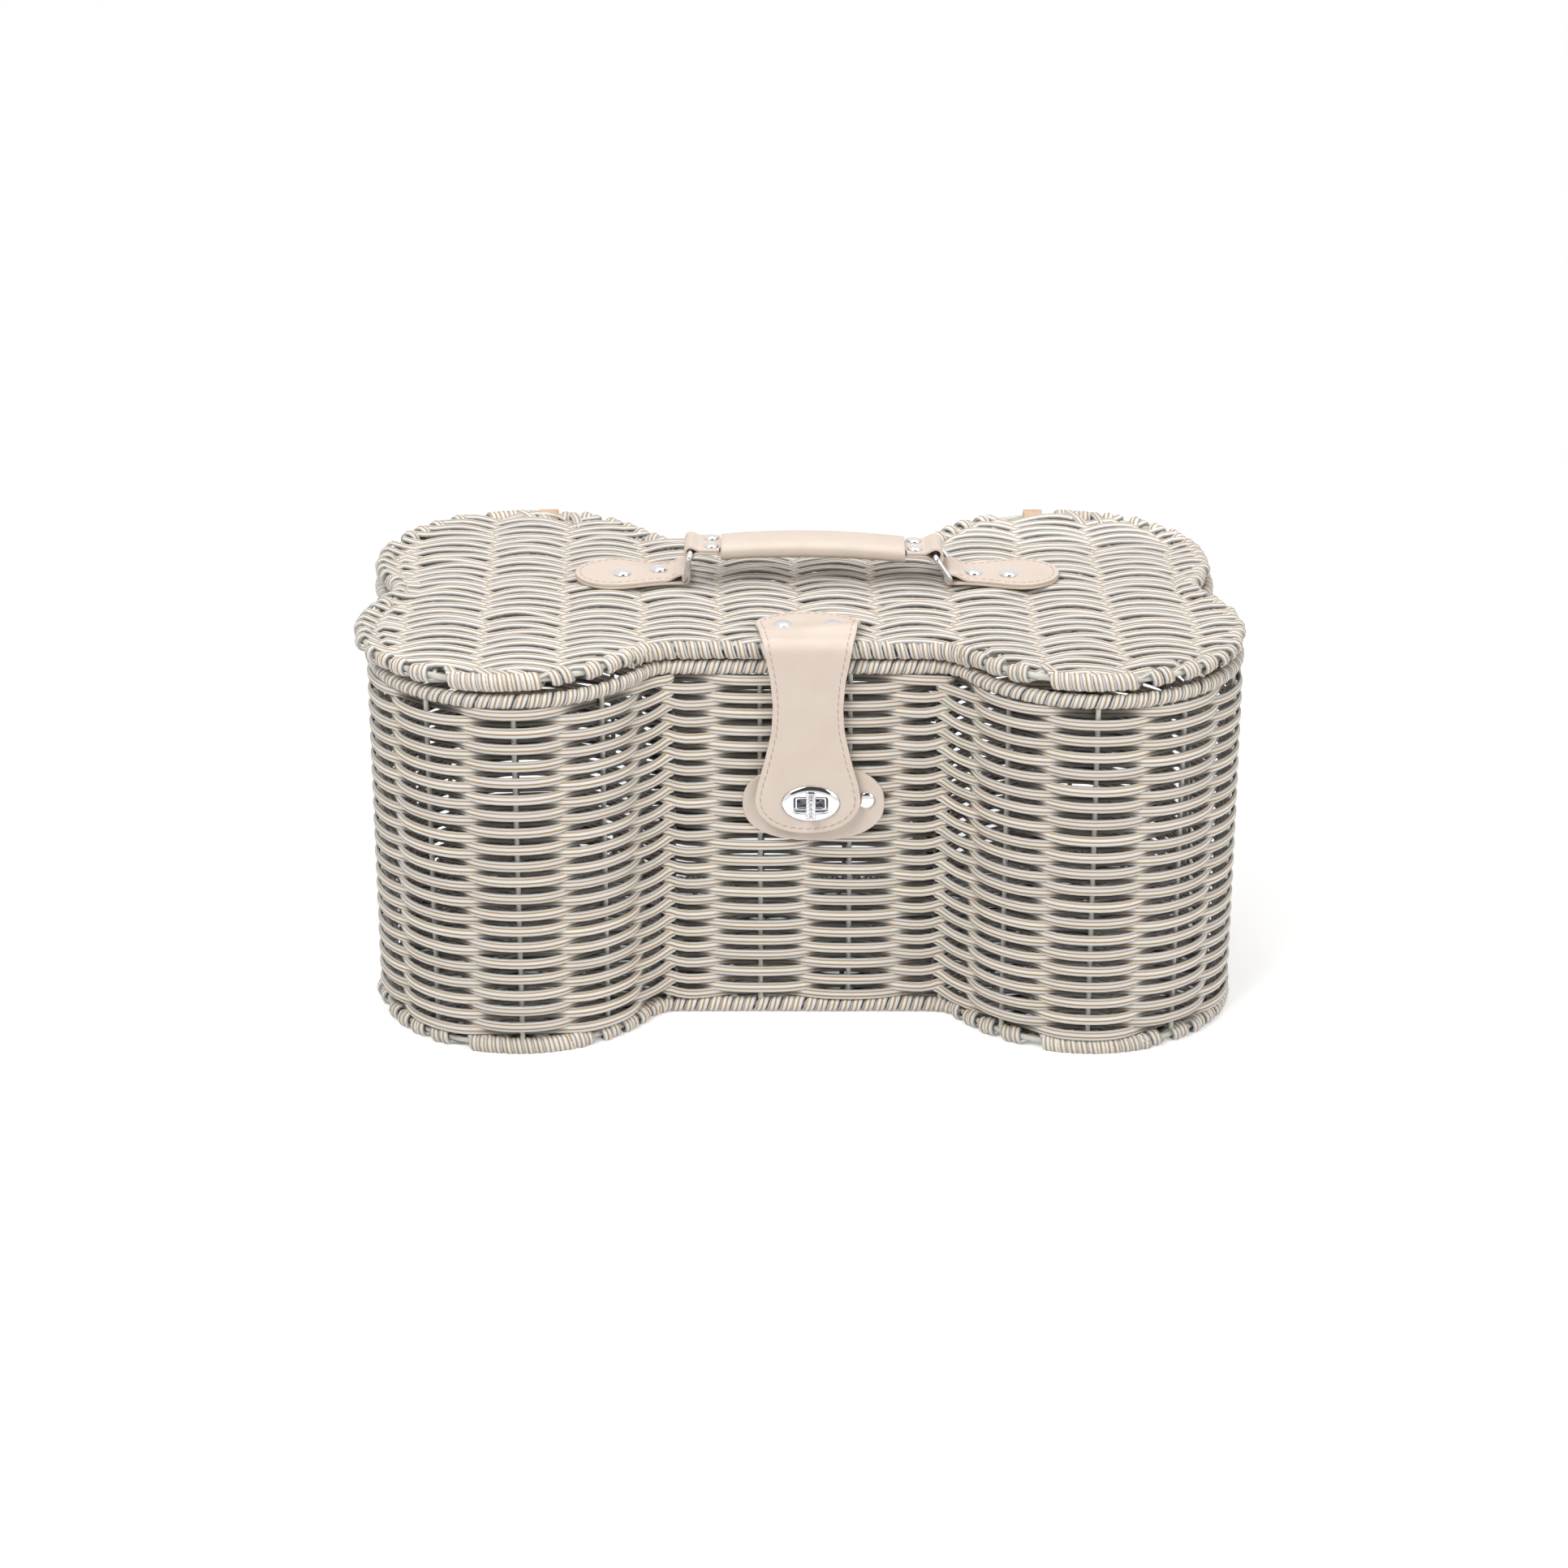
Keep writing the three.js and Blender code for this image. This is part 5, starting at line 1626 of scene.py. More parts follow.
def plain_mesh(maker: bmesh.types.BMesh, name: str, smooth: bool = True) -> bpy.types.Mesh:
    """Finish a mesh in the making, with its faces turned outwards.

    Args:
        maker: The mesh, in metres.
        name: Its name.
        smooth: Whether its faces are shaded smoothly.

    Returns:
        The mesh.
    """
    bmesh.ops.recalc_face_normals(maker, faces=maker.faces[:])
    for face in maker.faces:
        face.smooth = smooth
    mesh = bpy.data.meshes.new(name)
    maker.to_mesh(mesh)
    maker.free()
    return mesh


def shaped(maker: bmesh.types.BMesh, name: str, material: Material) -> Object:
    """Turn a mesh in the making into an object of one material."""
    mesh = plain_mesh(maker, name)
    mesh.materials.append(material)
    return linked(name, mesh)


def skinned(name: str, rings: Sequence[Array], material: Material, closed: bool = False) -> Object:
    """Skin rings of equal numbers of points.

    Args:
        name: The object's name.
        rings: The rings, in millimetres.
        material: The object's material.
        closed: Whether the last ring joins the first, or both are filled.

    Returns:
        The object.
    """
    maker = bmesh.new()
    rows = [[maker.verts.new(point * MM) for point in ring] for ring in rings]
    bridge(maker, list(zip(rows, rows[1:])) + ([(rows[-1], rows[0])] if closed else []))
    if not closed:
        maker.faces.new(rows[0][::-1])
        maker.faces.new(rows[-1])
    return shaped(maker, name, material)


# What repeats


@dataclass(frozen=True)
class Spot:
    """The place, directions and size of one copy of a small part."""

    place: Sequence[float]
    up: Sequence[float]
    along: Sequence[float]
    size: Sequence[float]


class Scatter(GuidedTree):
    """A tree that puts a small part at every point, or at an even pitch along every guide."""

    pitch = 4.3

    def __init__(self, name: str, along_guides: bool) -> None:
        """Build the tree, for points or for guides that the copies follow."""
        super().__init__(name, {"Part": "Object", "Pitch": "Float", "Material": "Material"})
        graph = Graph(self.tree)
        given = graph.given()
        points, ahead = given["Geometry"], graph.named("along", "FLOAT_VECTOR")
        if along_guides:
            curve = graph.out("GeometryNodeMeshToCurve", None, {0: points})
            inputs = {"Curve": curve, "Length": given["Pitch"]}
            points = graph.out("GeometryNodeResampleCurve", {"mode": "LENGTH"}, inputs)
            ahead = graph.out("GeometryNodeInputTangent")
        align = "FunctionNodeAlignRotationToVector"
        upright = graph.out(align, {"axis": "Z"}, {"Vector": graph.named("face", "FLOAT_VECTOR")})
        inputs = {"Rotation": upright, "Vector": ahead}
        turned = graph.out(align, {"axis": "X", "pivot_axis": "Z"}, inputs)
        part = graph.out("GeometryNodeObjectInfo", None, {"Object": given["Part"]}, "Geometry")
        inputs = {"Points": points, "Instance": part, "Rotation": turned}
        if not along_guides:
            inputs["Scale"] = graph.named("size", "FLOAT_VECTOR")
        graph.end(graph.out("GeometryNodeInstanceOnPoints", None, inputs), given["Material"])

    def place(self, name: str, guide: Object, part: Object, material: Material) -> Object:
        """Put copies of a part, in one material, on a guide, which is used up."""
        return self.apply(guide, name, Part=part, Pitch=self.pitch * MM, Material=material)


def spot_object(name: str, spots: Sequence[Spot]) -> Object:
    """Put spots into a mesh of plain points, for a geometry tree to work on.

    Args:
        name: The object's name.
        spots: The spots, in millimetres.

    Returns:
        The object.
    """
    mesh = bpy.data.meshes.new(name)
    mesh.from_pydata([tuple(np.array(spot.place) * MM) for spot in spots], [], [])
    for key, values in (
        ("face", [spot.up for spot in spots]), ("along", [spot.along for spot in spots]),
        ("size", [spot.size for spot in spots]),
    ):
        stored = mesh.attributes.new(key, "FLOAT_VECTOR", "POINT")
        stored.data.foreach_set("vector", np.array(values, dtype=float).ravel())
    return linked(name, mesh)


def riveted(
    head: Sequence[float], foot: Sequence[float], cap: Pair,
    ups: tuple[Sequence[float], Sequence[float]], along: Sequence[float] = (1, 0, 0), washer: float = 3.9,
) -> list[Spot]:
    """The domed cap and the washer of a rivet.

    Args:
        head: Where the cap sits.
        foot: Where the washer sits.
        cap: The cap's radius and height.
        ups: The directions that the cap and the washer face.
        along: A direction in the plane of both.
        washer: The washer's radius.

    Returns:
        The two spots.
    """
    radius, height = cap
    return [
        Spot(head, ups[0], along, (radius, radius, height)),
        Spot(foot, ups[1], along, (washer, washer, 1.0)),
    ]


@dataclass
class Kit:
    """The small parts that are copied many times, and the trees that copy them."""

    finishes: Finishes

    def __post_init__(self) -> None:
        """Make the trees and the small parts, one millimetre large where they are scaled."""
        self.points = Scatter("copies_at_points", False)
        self.seams = Scatter("stitches_along_seam", True)
        self.dome = self._turned("rivet_dome", self._dome_profile(), 24)
        self.ball = self._turned("bead", [(math.sin(a), -math.cos(a)) for a in
                                          np.linspace(0.0, math.pi, 7)], 10)
        self.gem = self._turned(
            "cut_stone", [(0.0, 0.0), (0.92, 0.0), (1.0, 0.25), (0.62, 0.85), (0.0, 0.85)], 8, False
        )
        stitch = [(0.27 * math.sin(a) ** 0.8, -1.7 * math.cos(a)) for a in np.linspace(0.0, math.pi, 6)]
        self.stitch = self._turned("stitch", stitch, 6)
        self.stitch.data.transform(Matrix.Rotation(math.pi / 2, 4, "Y"))
        self.stitch.data.transform(Matrix.Rotation(math.radians(7.0), 4, "Z"))

    @staticmethod
    def _dome_profile() -> list[Pair]:
        """The half section of a rivet's cap, from its underside to its top."""
        rise = [(math.cos(a), 0.12 + 0.88 * math.sin(a)) for a in np.linspace(0.0, math.pi / 2, 9)]
        return [(0.0, 0.0), (0.95, 0.0), *rise[:-1], (0.0, 1.0)]

    @staticmethod
    def _turned(name: str, profile: Sequence[Pair], sides: int, smooth: bool = True) -> Object:
        """Turn a half section, whose ends lie on the axis, about the Z axis.

        Args:
            name: The part's name.
            profile: Radius and height of each point, in millimetres.
            sides: The number of sides.
            smooth: Whether it is shaded smoothly.

        Returns:
            The part.
        """
        maker = bmesh.new()
        angles = [2 * math.pi * index / sides for index in range(sides)]
        rows = []
        for radius, height in profile[1:-1]:
            spots = [(radius * math.cos(a) * MM, radius * math.sin(a) * MM, height * MM) for a in angles]
            rows.append([maker.verts.new(spot) for spot in spots])
        foot = maker.verts.new((0.0, 0.0, profile[0][1] * MM))
        head = maker.verts.new((0.0, 0.0, profile[-1][1] * MM))
        for index in range(sides):
            after = (index + 1) % sides
            maker.faces.new((foot, rows[0][after], rows[0][index]))
            maker.faces.new((head, rows[-1][index], rows[-1][after]))
            for first, second in zip(rows, rows[1:]):
                maker.faces.new((first[index], first[after], second[after], second[index]))
        return bpy.data.objects.new(name, plain_mesh(maker, name, smooth))

    def sew(self, name: str, seams: Sequence[Path]) -> Object:
        """Sew stitches along seams."""
        guide = guide_object(name, seams)
        return self.seams.place(name, guide, self.stitch, self.finishes.thread)

    def rivets(self, name: str, spots: Sequence[Spot]) -> Object:
        """Set rivets at spots."""
        return self.points.place(name, spot_object(name, spots), self.dome, self.finishes.chrome)

    def clear(self) -> None:
        """Remove the small parts that were copied."""
        for part in (self.dome, self.ball, self.gem, self.stitch):
            bpy.data.objects.remove(part)


# Leather sub-assemblies and metal fittings


@dataclass
class Heights:
    """Levels on the lid and the front wall that the leather and the metal rest on."""

    tab_floor: float = 218.2
    lid_underside: float = 210.1
    wall_front: float = -82.9


@dataclass
class ClosingStrap:
    """The strap: riveted to the lid, folded over its edge and hanging to the lock."""

    finishes: Finishes
    kit: Kit
    heights: Heights = field(default_factory=Heights)
    middle: float = 1.5
    back: float = -43.5
    hang: float = -88.9
    tail: float = 110.9
    leather: float = 2.4
    bend: float = 6.0
    arch_half: float = 27.9
    arch_depth: float = 13.5
    bulb_half: float = 28.4
    bulb_drop: float = 19.5
    lock_x: float = 3.1
    lock_z: float = 128.4
    slot: Pair = (19.4, 9.9)
    rivet_half: float = 13.2
    rivet_y: float = -65.0
    cap: Pair = (5.0, 2.4)
    seam_inset: float = 2.9
    crease: float = 28.0

    def fold(self) -> Fold:
        """The strap's line, from the back of its arch over the lid's edge to its tail."""
        level = self.heights.tab_floor + self.leather / 2
        turn = (-self.hang - self.bend, level - self.bend)
        line = np.vstack(
            [
                [(-self.back, level)], arc(turn, self.bend, 90.0, 0.0),
                [(-self.hang, self.lock_z + 30.0), (-self.hang, self.tail)],
            ]
        )
        return Fold(line, (self.middle, 0, 0), (1, 0, 0), (0, -1, 0), (0, 0, 1))

    def outline(self, length: float) -> Array:
        """The strap's flat outline.

        Args:
            length: Its length along the fold.

        Returns:
            The outline.
        """
        radius = (self.arch_half**2 + self.arch_depth**2) / (2 * self.arch_depth)
        rise = np.linspace(0.0, 1.0, 16) ** 1.6 * self.arch_depth
        arch = np.stack([np.sqrt(2 * radius * rise - rise**2), rise], axis=1)
        waist = length - (183.4 - self.tail)
        widest = length - self.bulb_drop
        stations = np.array(
            [
                (self.arch_half + 0.4, self.arch_depth + 1.5), (26.6, 26.0), (24.8, 38.0),
                (22.6, 50.0), (19.9, 64.0), (18.6, waist), (19.4, waist + 14.0),
                (23.3, waist + 32.0), (27.0, widest - 8.0),
            ]
        )
        turn = np.radians(np.linspace(0.0, 90.0, 14))
        bulb = np.stack(
            [self.bulb_half * np.cos(turn) ** 0.86, widest + self.bulb_drop * np.sin(turn)], axis=1,
        )
        return rounded(mirrored(np.vstack([arch, stations, bulb])), 3.2)

    def buckle(self, flat: Array) -> Array:
        """How far the leather stands up in front of its rivets, more on the right."""
        across, along = flat[:, 0], flat[:, 1]
        height = 1.1 + 2.4 * smooth_step((across + 14.0) / 34.0)
        before = 6.0 + 3.0 * smooth_step((across - 10.0) / 16.0)
        reach = np.where(along < self.crease, before, 6.5)
        return height * np.exp(-(((along - self.crease) / reach) ** 2))

    def build(self) -> None:
        """Make the strap, its seam and its rivets."""
        fold = self.fold()
        half_width, half_height = self.slot[0] / 2, self.slot[1] / 2
        place = fold.length - (self.lock_z - self.tail)
        x = self.lock_x - self.middle
        corners = [(-1, -1), (1, -1), (1, 1), (-1, 1)]
        slot = np.array([(x + a * half_width, place + b * half_height) for a, b in corners])
        holes = (rounded(anticlockwise(slot), 1.6),)
        hide = Hide(self.outline(fold.length), fold, self.leather, holes=holes, lift=self.buckle)
        strap = hide.build("closing_strap", self.finishes.leather)
        seam = self.kit.sew("closing_strap_seam", [hide.seam(self.seam_inset)])
        for piece in (strap, seam):
            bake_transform(piece)
        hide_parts("strap_root", "strap_flap")
        LOG.info("closing_strap bends between lid and strap")
        level = self.heights.tab_floor + self.leather
        under = self.heights.lid_underside - 0.2
        spots = []
        for side in (-1, 1):
            x = self.middle + side * self.rivet_half
            ups = ((0.0, 0.02, 1), (0, 0, -1))
            spots += riveted((x, self.rivet_y, level), (x, self.rivet_y, under), self.cap, ups)
        rivets = self.kit.rivets("strap_rivets", spots)
        settle(rivets, Body.LID, Slot.CHROME, "strap_rivet_left", "strap_rivet_right")


def anticlockwise(outline: Array) -> Array:
    """An outline in anticlockwise order."""
    ahead = np.roll(outline, -1, axis=0)
    area = np.sum(outline[:, 0] * ahead[:, 1] - ahead[:, 0] * outline[:, 1])
    return outline if area > 0 else outline[::-1]


@dataclass
class Anchor:
    """One of the two tabs that hold the handle's rings: a doubled strip of leather round the ring."""

    finishes: Finishes
    kit: Kit
    side: str
    ring_x: float
    direction: int
    heights: Heights = field(default_factory=Heights)
    rivet_places: Pairs = ((14.0, 2.0), (34.0, -4.5))
    y: float = 17.0
    leather: float = 1.6
    wire: float = 1.5
    play: float = 0.4
    length: float = 60.0
    bulb: float = 21.0
    neck: float = 14.0
    neck_length: float = 12.0
    ease: float = 10.5
    seam_start: float = 9.0
    cap: Pair = (5.0, 2.4)
    seam_inset: float = 2.7

    def outline(self, fold: Fold, reach: float) -> Array:
        """The flat strip, with a bulb at each end.

        Args:
            fold: The strip's line.
            reach: The length from the middle of its loop to the end of a bulb.

        Returns:
            The outline.
        """
        centre = reach - self.bulb
        turn = np.radians(np.linspace(0.0, 90.0, 16))
        bulb = np.stack([self.bulb * np.cos(turn), centre + self.bulb * np.sin(turn)], axis=1)
        slope = np.linspace(self.neck_length, centre, 12)[:-1]
        share = smooth_step((slope - self.neck_length) / (centre - self.neck_length))
        flank = np.stack([self.neck + (self.bulb - self.neck) * share, slope], axis=1)
        half = np.vstack([[(self.neck, 0.0)], flank, bulb])
        other = half[::-1] * np.array([1.0, -1.0])
        side = np.vstack([other, half]) + np.array([0.0, fold.length / 2])
        return anticlockwise(rounded(mirrored(side), 2.0))

    def build(self) -> None:
        """Make the tab, its seams and its rivets."""
        half = self.leather / 2
        pivot = self.leather + self.play + self.wire
        radius = self.play + self.wire + half
        top = self.leather + half
        line = np.vstack(
            [
                [(self.length, half)], arc((0.0, pivot), radius, 270.0, 90.0),
                eased(self.ease, pivot + radius, top, 12), [(self.length, top)],
            ]
        )
        outward = (float(self.direction), 0.0, 0.0)
        origin = (self.ring_x, self.y, self.heights.tab_floor)
        fold = Fold(line, origin, (0.0, 1.0, 0.0), outward, (0.0, 0.0, 1.0))
        hide = Hide(self.outline(fold, fold.length / 2), fold, self.leather - LAYER_GAP, 0.4)
        tab = hide.build(f"anchor_{self.side}", self.finishes.leather)
        settle(tab, Body.LID, Slot.LEATHER, f"handle_anchor_{self.side}")
        middle = fold.length / 2
        seam = hide.seam(self.seam_inset, middle + self.seam_start)
        settle(self.kit.sew(f"anchor_{self.side}_seam", [seam]), Body.LID, Slot.LEATHER)
        level = self.heights.tab_floor + 2 * self.leather
        under = self.heights.lid_underside - 0.2
        spots = []
        for along, aside in self.rivet_places:
            x, y = self.ring_x + self.direction * along, self.y + aside
            spots += riveted((x, y, level), (x, y, under), self.cap, ((0, 0, 1), (0, 0, -1)))
        rivets = self.kit.rivets(f"anchor_{self.side}_rivets", spots)
        names = [f"anchor_rivet_{self.side}_{one}" for one in ("inner", "outer")]
        settle(rivets, Body.LID, Slot.CHROME, *names)


@dataclass
class CarryHandle:
    """The carry handle between its two wire rings."""

    finishes: Finishes
    kit: Kit
    sweeper: SweptStrand
    y: float = 17.0
    pivot_z: float = 221.7
    rings: tuple[tuple[str, float, float], ...] = (("left", -66.0, 13.5), ("right", 80.0, -33.0))
    ring_height: float = 15.5
    ring_inside: float = 31.0
    ring_bend: float = 2.4
    wire: float = 1.5
    leather: float = 1.6
    plays: Pair = (0.4, 1.3)
    strap_length: float = 24.0
    strap_width: float = 25.0
    tongue_half: float = 7.5
    rivet_spread: float = 0.26
    sleeve_start: float = 16.5
    sleeve_width: float = 26.5
    sleeve_height: float = 12.0
    sleeve_fullness: float = 2.7
    sleeve_squash: float = 0.86
    sleeve_drop: float = 1.0
    bow: float = 2.5
    cap: Pair = (4.1, 1.9)

    def top(self, index: int) -> Array:
        """The middle of a ring's upper bar."""
        _, x, lean = self.rings[index]
        angle = math.radians(lean)
        across = self.ring_height * math.sin(angle)
        return np.array([x + across, self.y, self.pivot_z + self.ring_height * math.cos(angle)])

    def build(self) -> None:
        """Make the rings, the end straps, the sleeve and the rivets."""
        bodies = (Body.RING_LEFT, Body.RING_RIGHT)
        for (side, x, lean), body in zip(self.rings, bodies):
            settle(self._ring(side, x, lean), body, Slot.CHROME, f"handle_ring_{side}")
        left, right = self.top(0), self.top(1)
        ahead = (right - left) / np.linalg.norm(right - left)
        up = np.cross(ahead, DEPTH)
        settle(self._sleeve(left, right, ahead, up), Body.HANDLE, Slot.LEATHER, "handle_sleeve")
        for index, (side, start, out) in enumerate((("left", left, ahead), ("right", right, -ahead))):
            self._end(side, start, out, up, self.plays[index])
        for slot in bpy.data.objects["handle_core"].material_slots:
            slot.material = self.finishes.filler

    def _ring(self, side: str, x: float, lean: float) -> Object:
        """Bend one ring from wire."""
        half = self.ring_inside / 2 + self.wire
        box = rounded_box((-half, 0.0), (half, self.ring_height), self.ring_bend)
        line = resampled(box, 0.9, True)
        angle = math.radians(lean)
        up = np.array([math.sin(angle), 0.0, math.cos(angle)])
        foot = np.array([x, self.y, self.pivot_z])
        points = foot + line[:, 0:1] * DEPTH + line[:, 1:2] * up
        path = Path(points, repeated(np.cross(DEPTH, up), len(points)), closed=True)
        thick = 2 * self.wire
        return self.sweeper.sweep(f"ring_{side}", [path], self.finishes.chrome, thick, thick)

    def _sleeve(self, left: Array, right: Array, ahead: Array, up: Array) -> Object:
        """Roll the leather sleeve.

        Args:
            left: The left ring's upper bar.
            right: The right ring's upper bar.
            ahead: The direction between them.
            up: The direction square to it.

        Returns:
            The sleeve.
        """
        length = float(np.linalg.norm(right - left)) - 2 * self.sleeve_start
        wide, tall = squarish(np.linspace(0.0, 2 * math.pi, 49)[:-1], self.sleeve_fullness)
        inner = [(4.0, 1.7), (0.9, 1.7), (0.25, 1.3), (0.0, 0.8), (0.25, 0.25), (0.9, 0.0)]
        body = [(place, 0.0) for place in np.linspace(3.0, length - 3.0, 27)]
        outer = [(length - place, skin) for place, skin in reversed(inner)]
        rings = []
        for place, skin in inner + body + outer:
            share = place / length
            rise = 4 * self.bow * share * (1 - share)
            swell = 1.0 + 0.035 * math.sin(math.pi * share)
            centre = left + ahead * (self.sleeve_start + place) + up * (rise - self.sleeve_drop)
            half_width = self.sleeve_width / 2 * swell - skin
            half_height = self.sleeve_height / 2 * self.sleeve_squash * swell - skin
            across = (wide * half_width)[:, None] * DEPTH
            rings.append(centre + across + (tall * half_height)[:, None] * up)
        return skinned("handle_sleeve_skin", rings, self.finishes.leather)

    def _end(self, side: str, start: Array, out: Array, up: Array, play: float) -> None:
        """Make one end strap and its rivets.

        Args:
            side: Which end.
            start: The ring's upper bar.
            out: The direction from the bar into the sleeve.
            up: The direction that the strap's upper side faces.
            play: The room round the bar.
        """
        half = self.leather / 2
        radius = self.wire + play + half
        upper = np.vstack([eased(radius * 1.9, radius, half, 10), [(self.strap_length, half)]])
        lower = upper[::-1] * np.array([1.0, -1.0])
        line = np.vstack([lower, arc((0.0, 0.0), radius, 270.0, 90.0), upper])
        fold = Fold(line, start, (0.0, 1.0, 0.0), out, up)
        wide, narrow = self.strap_width / 2, self.tongue_half
        tongue = self.strap_length - self.sleeve_start + 0.6
        length = fold.length
        side_line = np.array(
            [
                (0.0, 0.0), (narrow, 0.0), (narrow, tongue), (wide, tongue + 0.2),
                (wide, length - tongue - 0.2), (narrow, length - tongue), (narrow, length), (0.0, length),
            ]
        )
        outline = anticlockwise(rounded(mirrored(side_line), 0.7))
        hide = Hide(outline, fold, self.leather - LAYER_GAP, 0.4)
        strap = hide.build(f"end_strap_{side}", self.finishes.leather)
        settle(strap, Body.HANDLE, Slot.LEATHER, f"handle_end_strap_{side}")
        along = (self.wire + self.plays[1] + 2 * self.leather + self.sleeve_start) / 2
        spots = []
        for across in (-self.rivet_spread, self.rivet_spread):
            middle = start + out * along + DEPTH * across * self.strap_width
            faces = (middle + up * self.leather, middle - up * self.leather)
            spots += riveted(*faces, self.cap, (up, -up), out, washer=3.3)
        rivets = self.kit.rivets(f"handle_{side}_rivets", spots)
        names = [f"handle_rivet_{side}_{index}" for index in (1, 2)]
        settle(rivets, Body.HANDLE, Slot.CHROME, *names)


@dataclass
class HingeLoops:
    """The two leather loops round the rims' bare wire at the back."""

    finishes: Finishes
    places: tuple[tuple[str, float], ...] = (("left", -146.5), ("right", 132.0))
    width: float = 10.5
    leather: float = 1.6
    bore: float = 3.6
    wires: Pair = (202.5, 214.0)
    stagger: float = 0.4
    inner_end: float = 208.0

    def build(self) -> None:
        """Make the loops."""
        for side, x in self.places:
            low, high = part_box(f"hinge_loop_{side}")
            middle_y = (low[1] + high[1]) / 2 / MM
            lower = np.array([middle_y + self.stagger, self.wires[0]])
            upper = np.array([middle_y - self.stagger, self.wires[1]])
            radius = self.bore + self.leather / 2
            turns = [
                arc(lower, radius, 0.0, -180.0), arc(upper, radius, 180.0, 0.0),
                arc(lower, radius + self.leather, 0.0, -55.0),
            ]
            line = np.vstack([[(lower[0] + radius, self.inner_end)], *turns])
            fold = Fold(line, (x, 0.0, 0.0), (1, 0, 0), (0, 1, 0), (0, 0, 1))
            half = self.width / 2
            corners = [(-half, 0.0), (half, 0.0), (half, fold.length), (-half, fold.length)]
            outline = anticlockwise(rounded(np.array(corners), 1.2))
            hide = Hide(outline, fold, self.leather - 0.1, 0.35)
            loop = hide.build(f"hinge_band_{side}", self.finishes.hinge)
            settle(loop, Body.BASKET, Slot.LEATHER, f"hinge_loop_{side}")


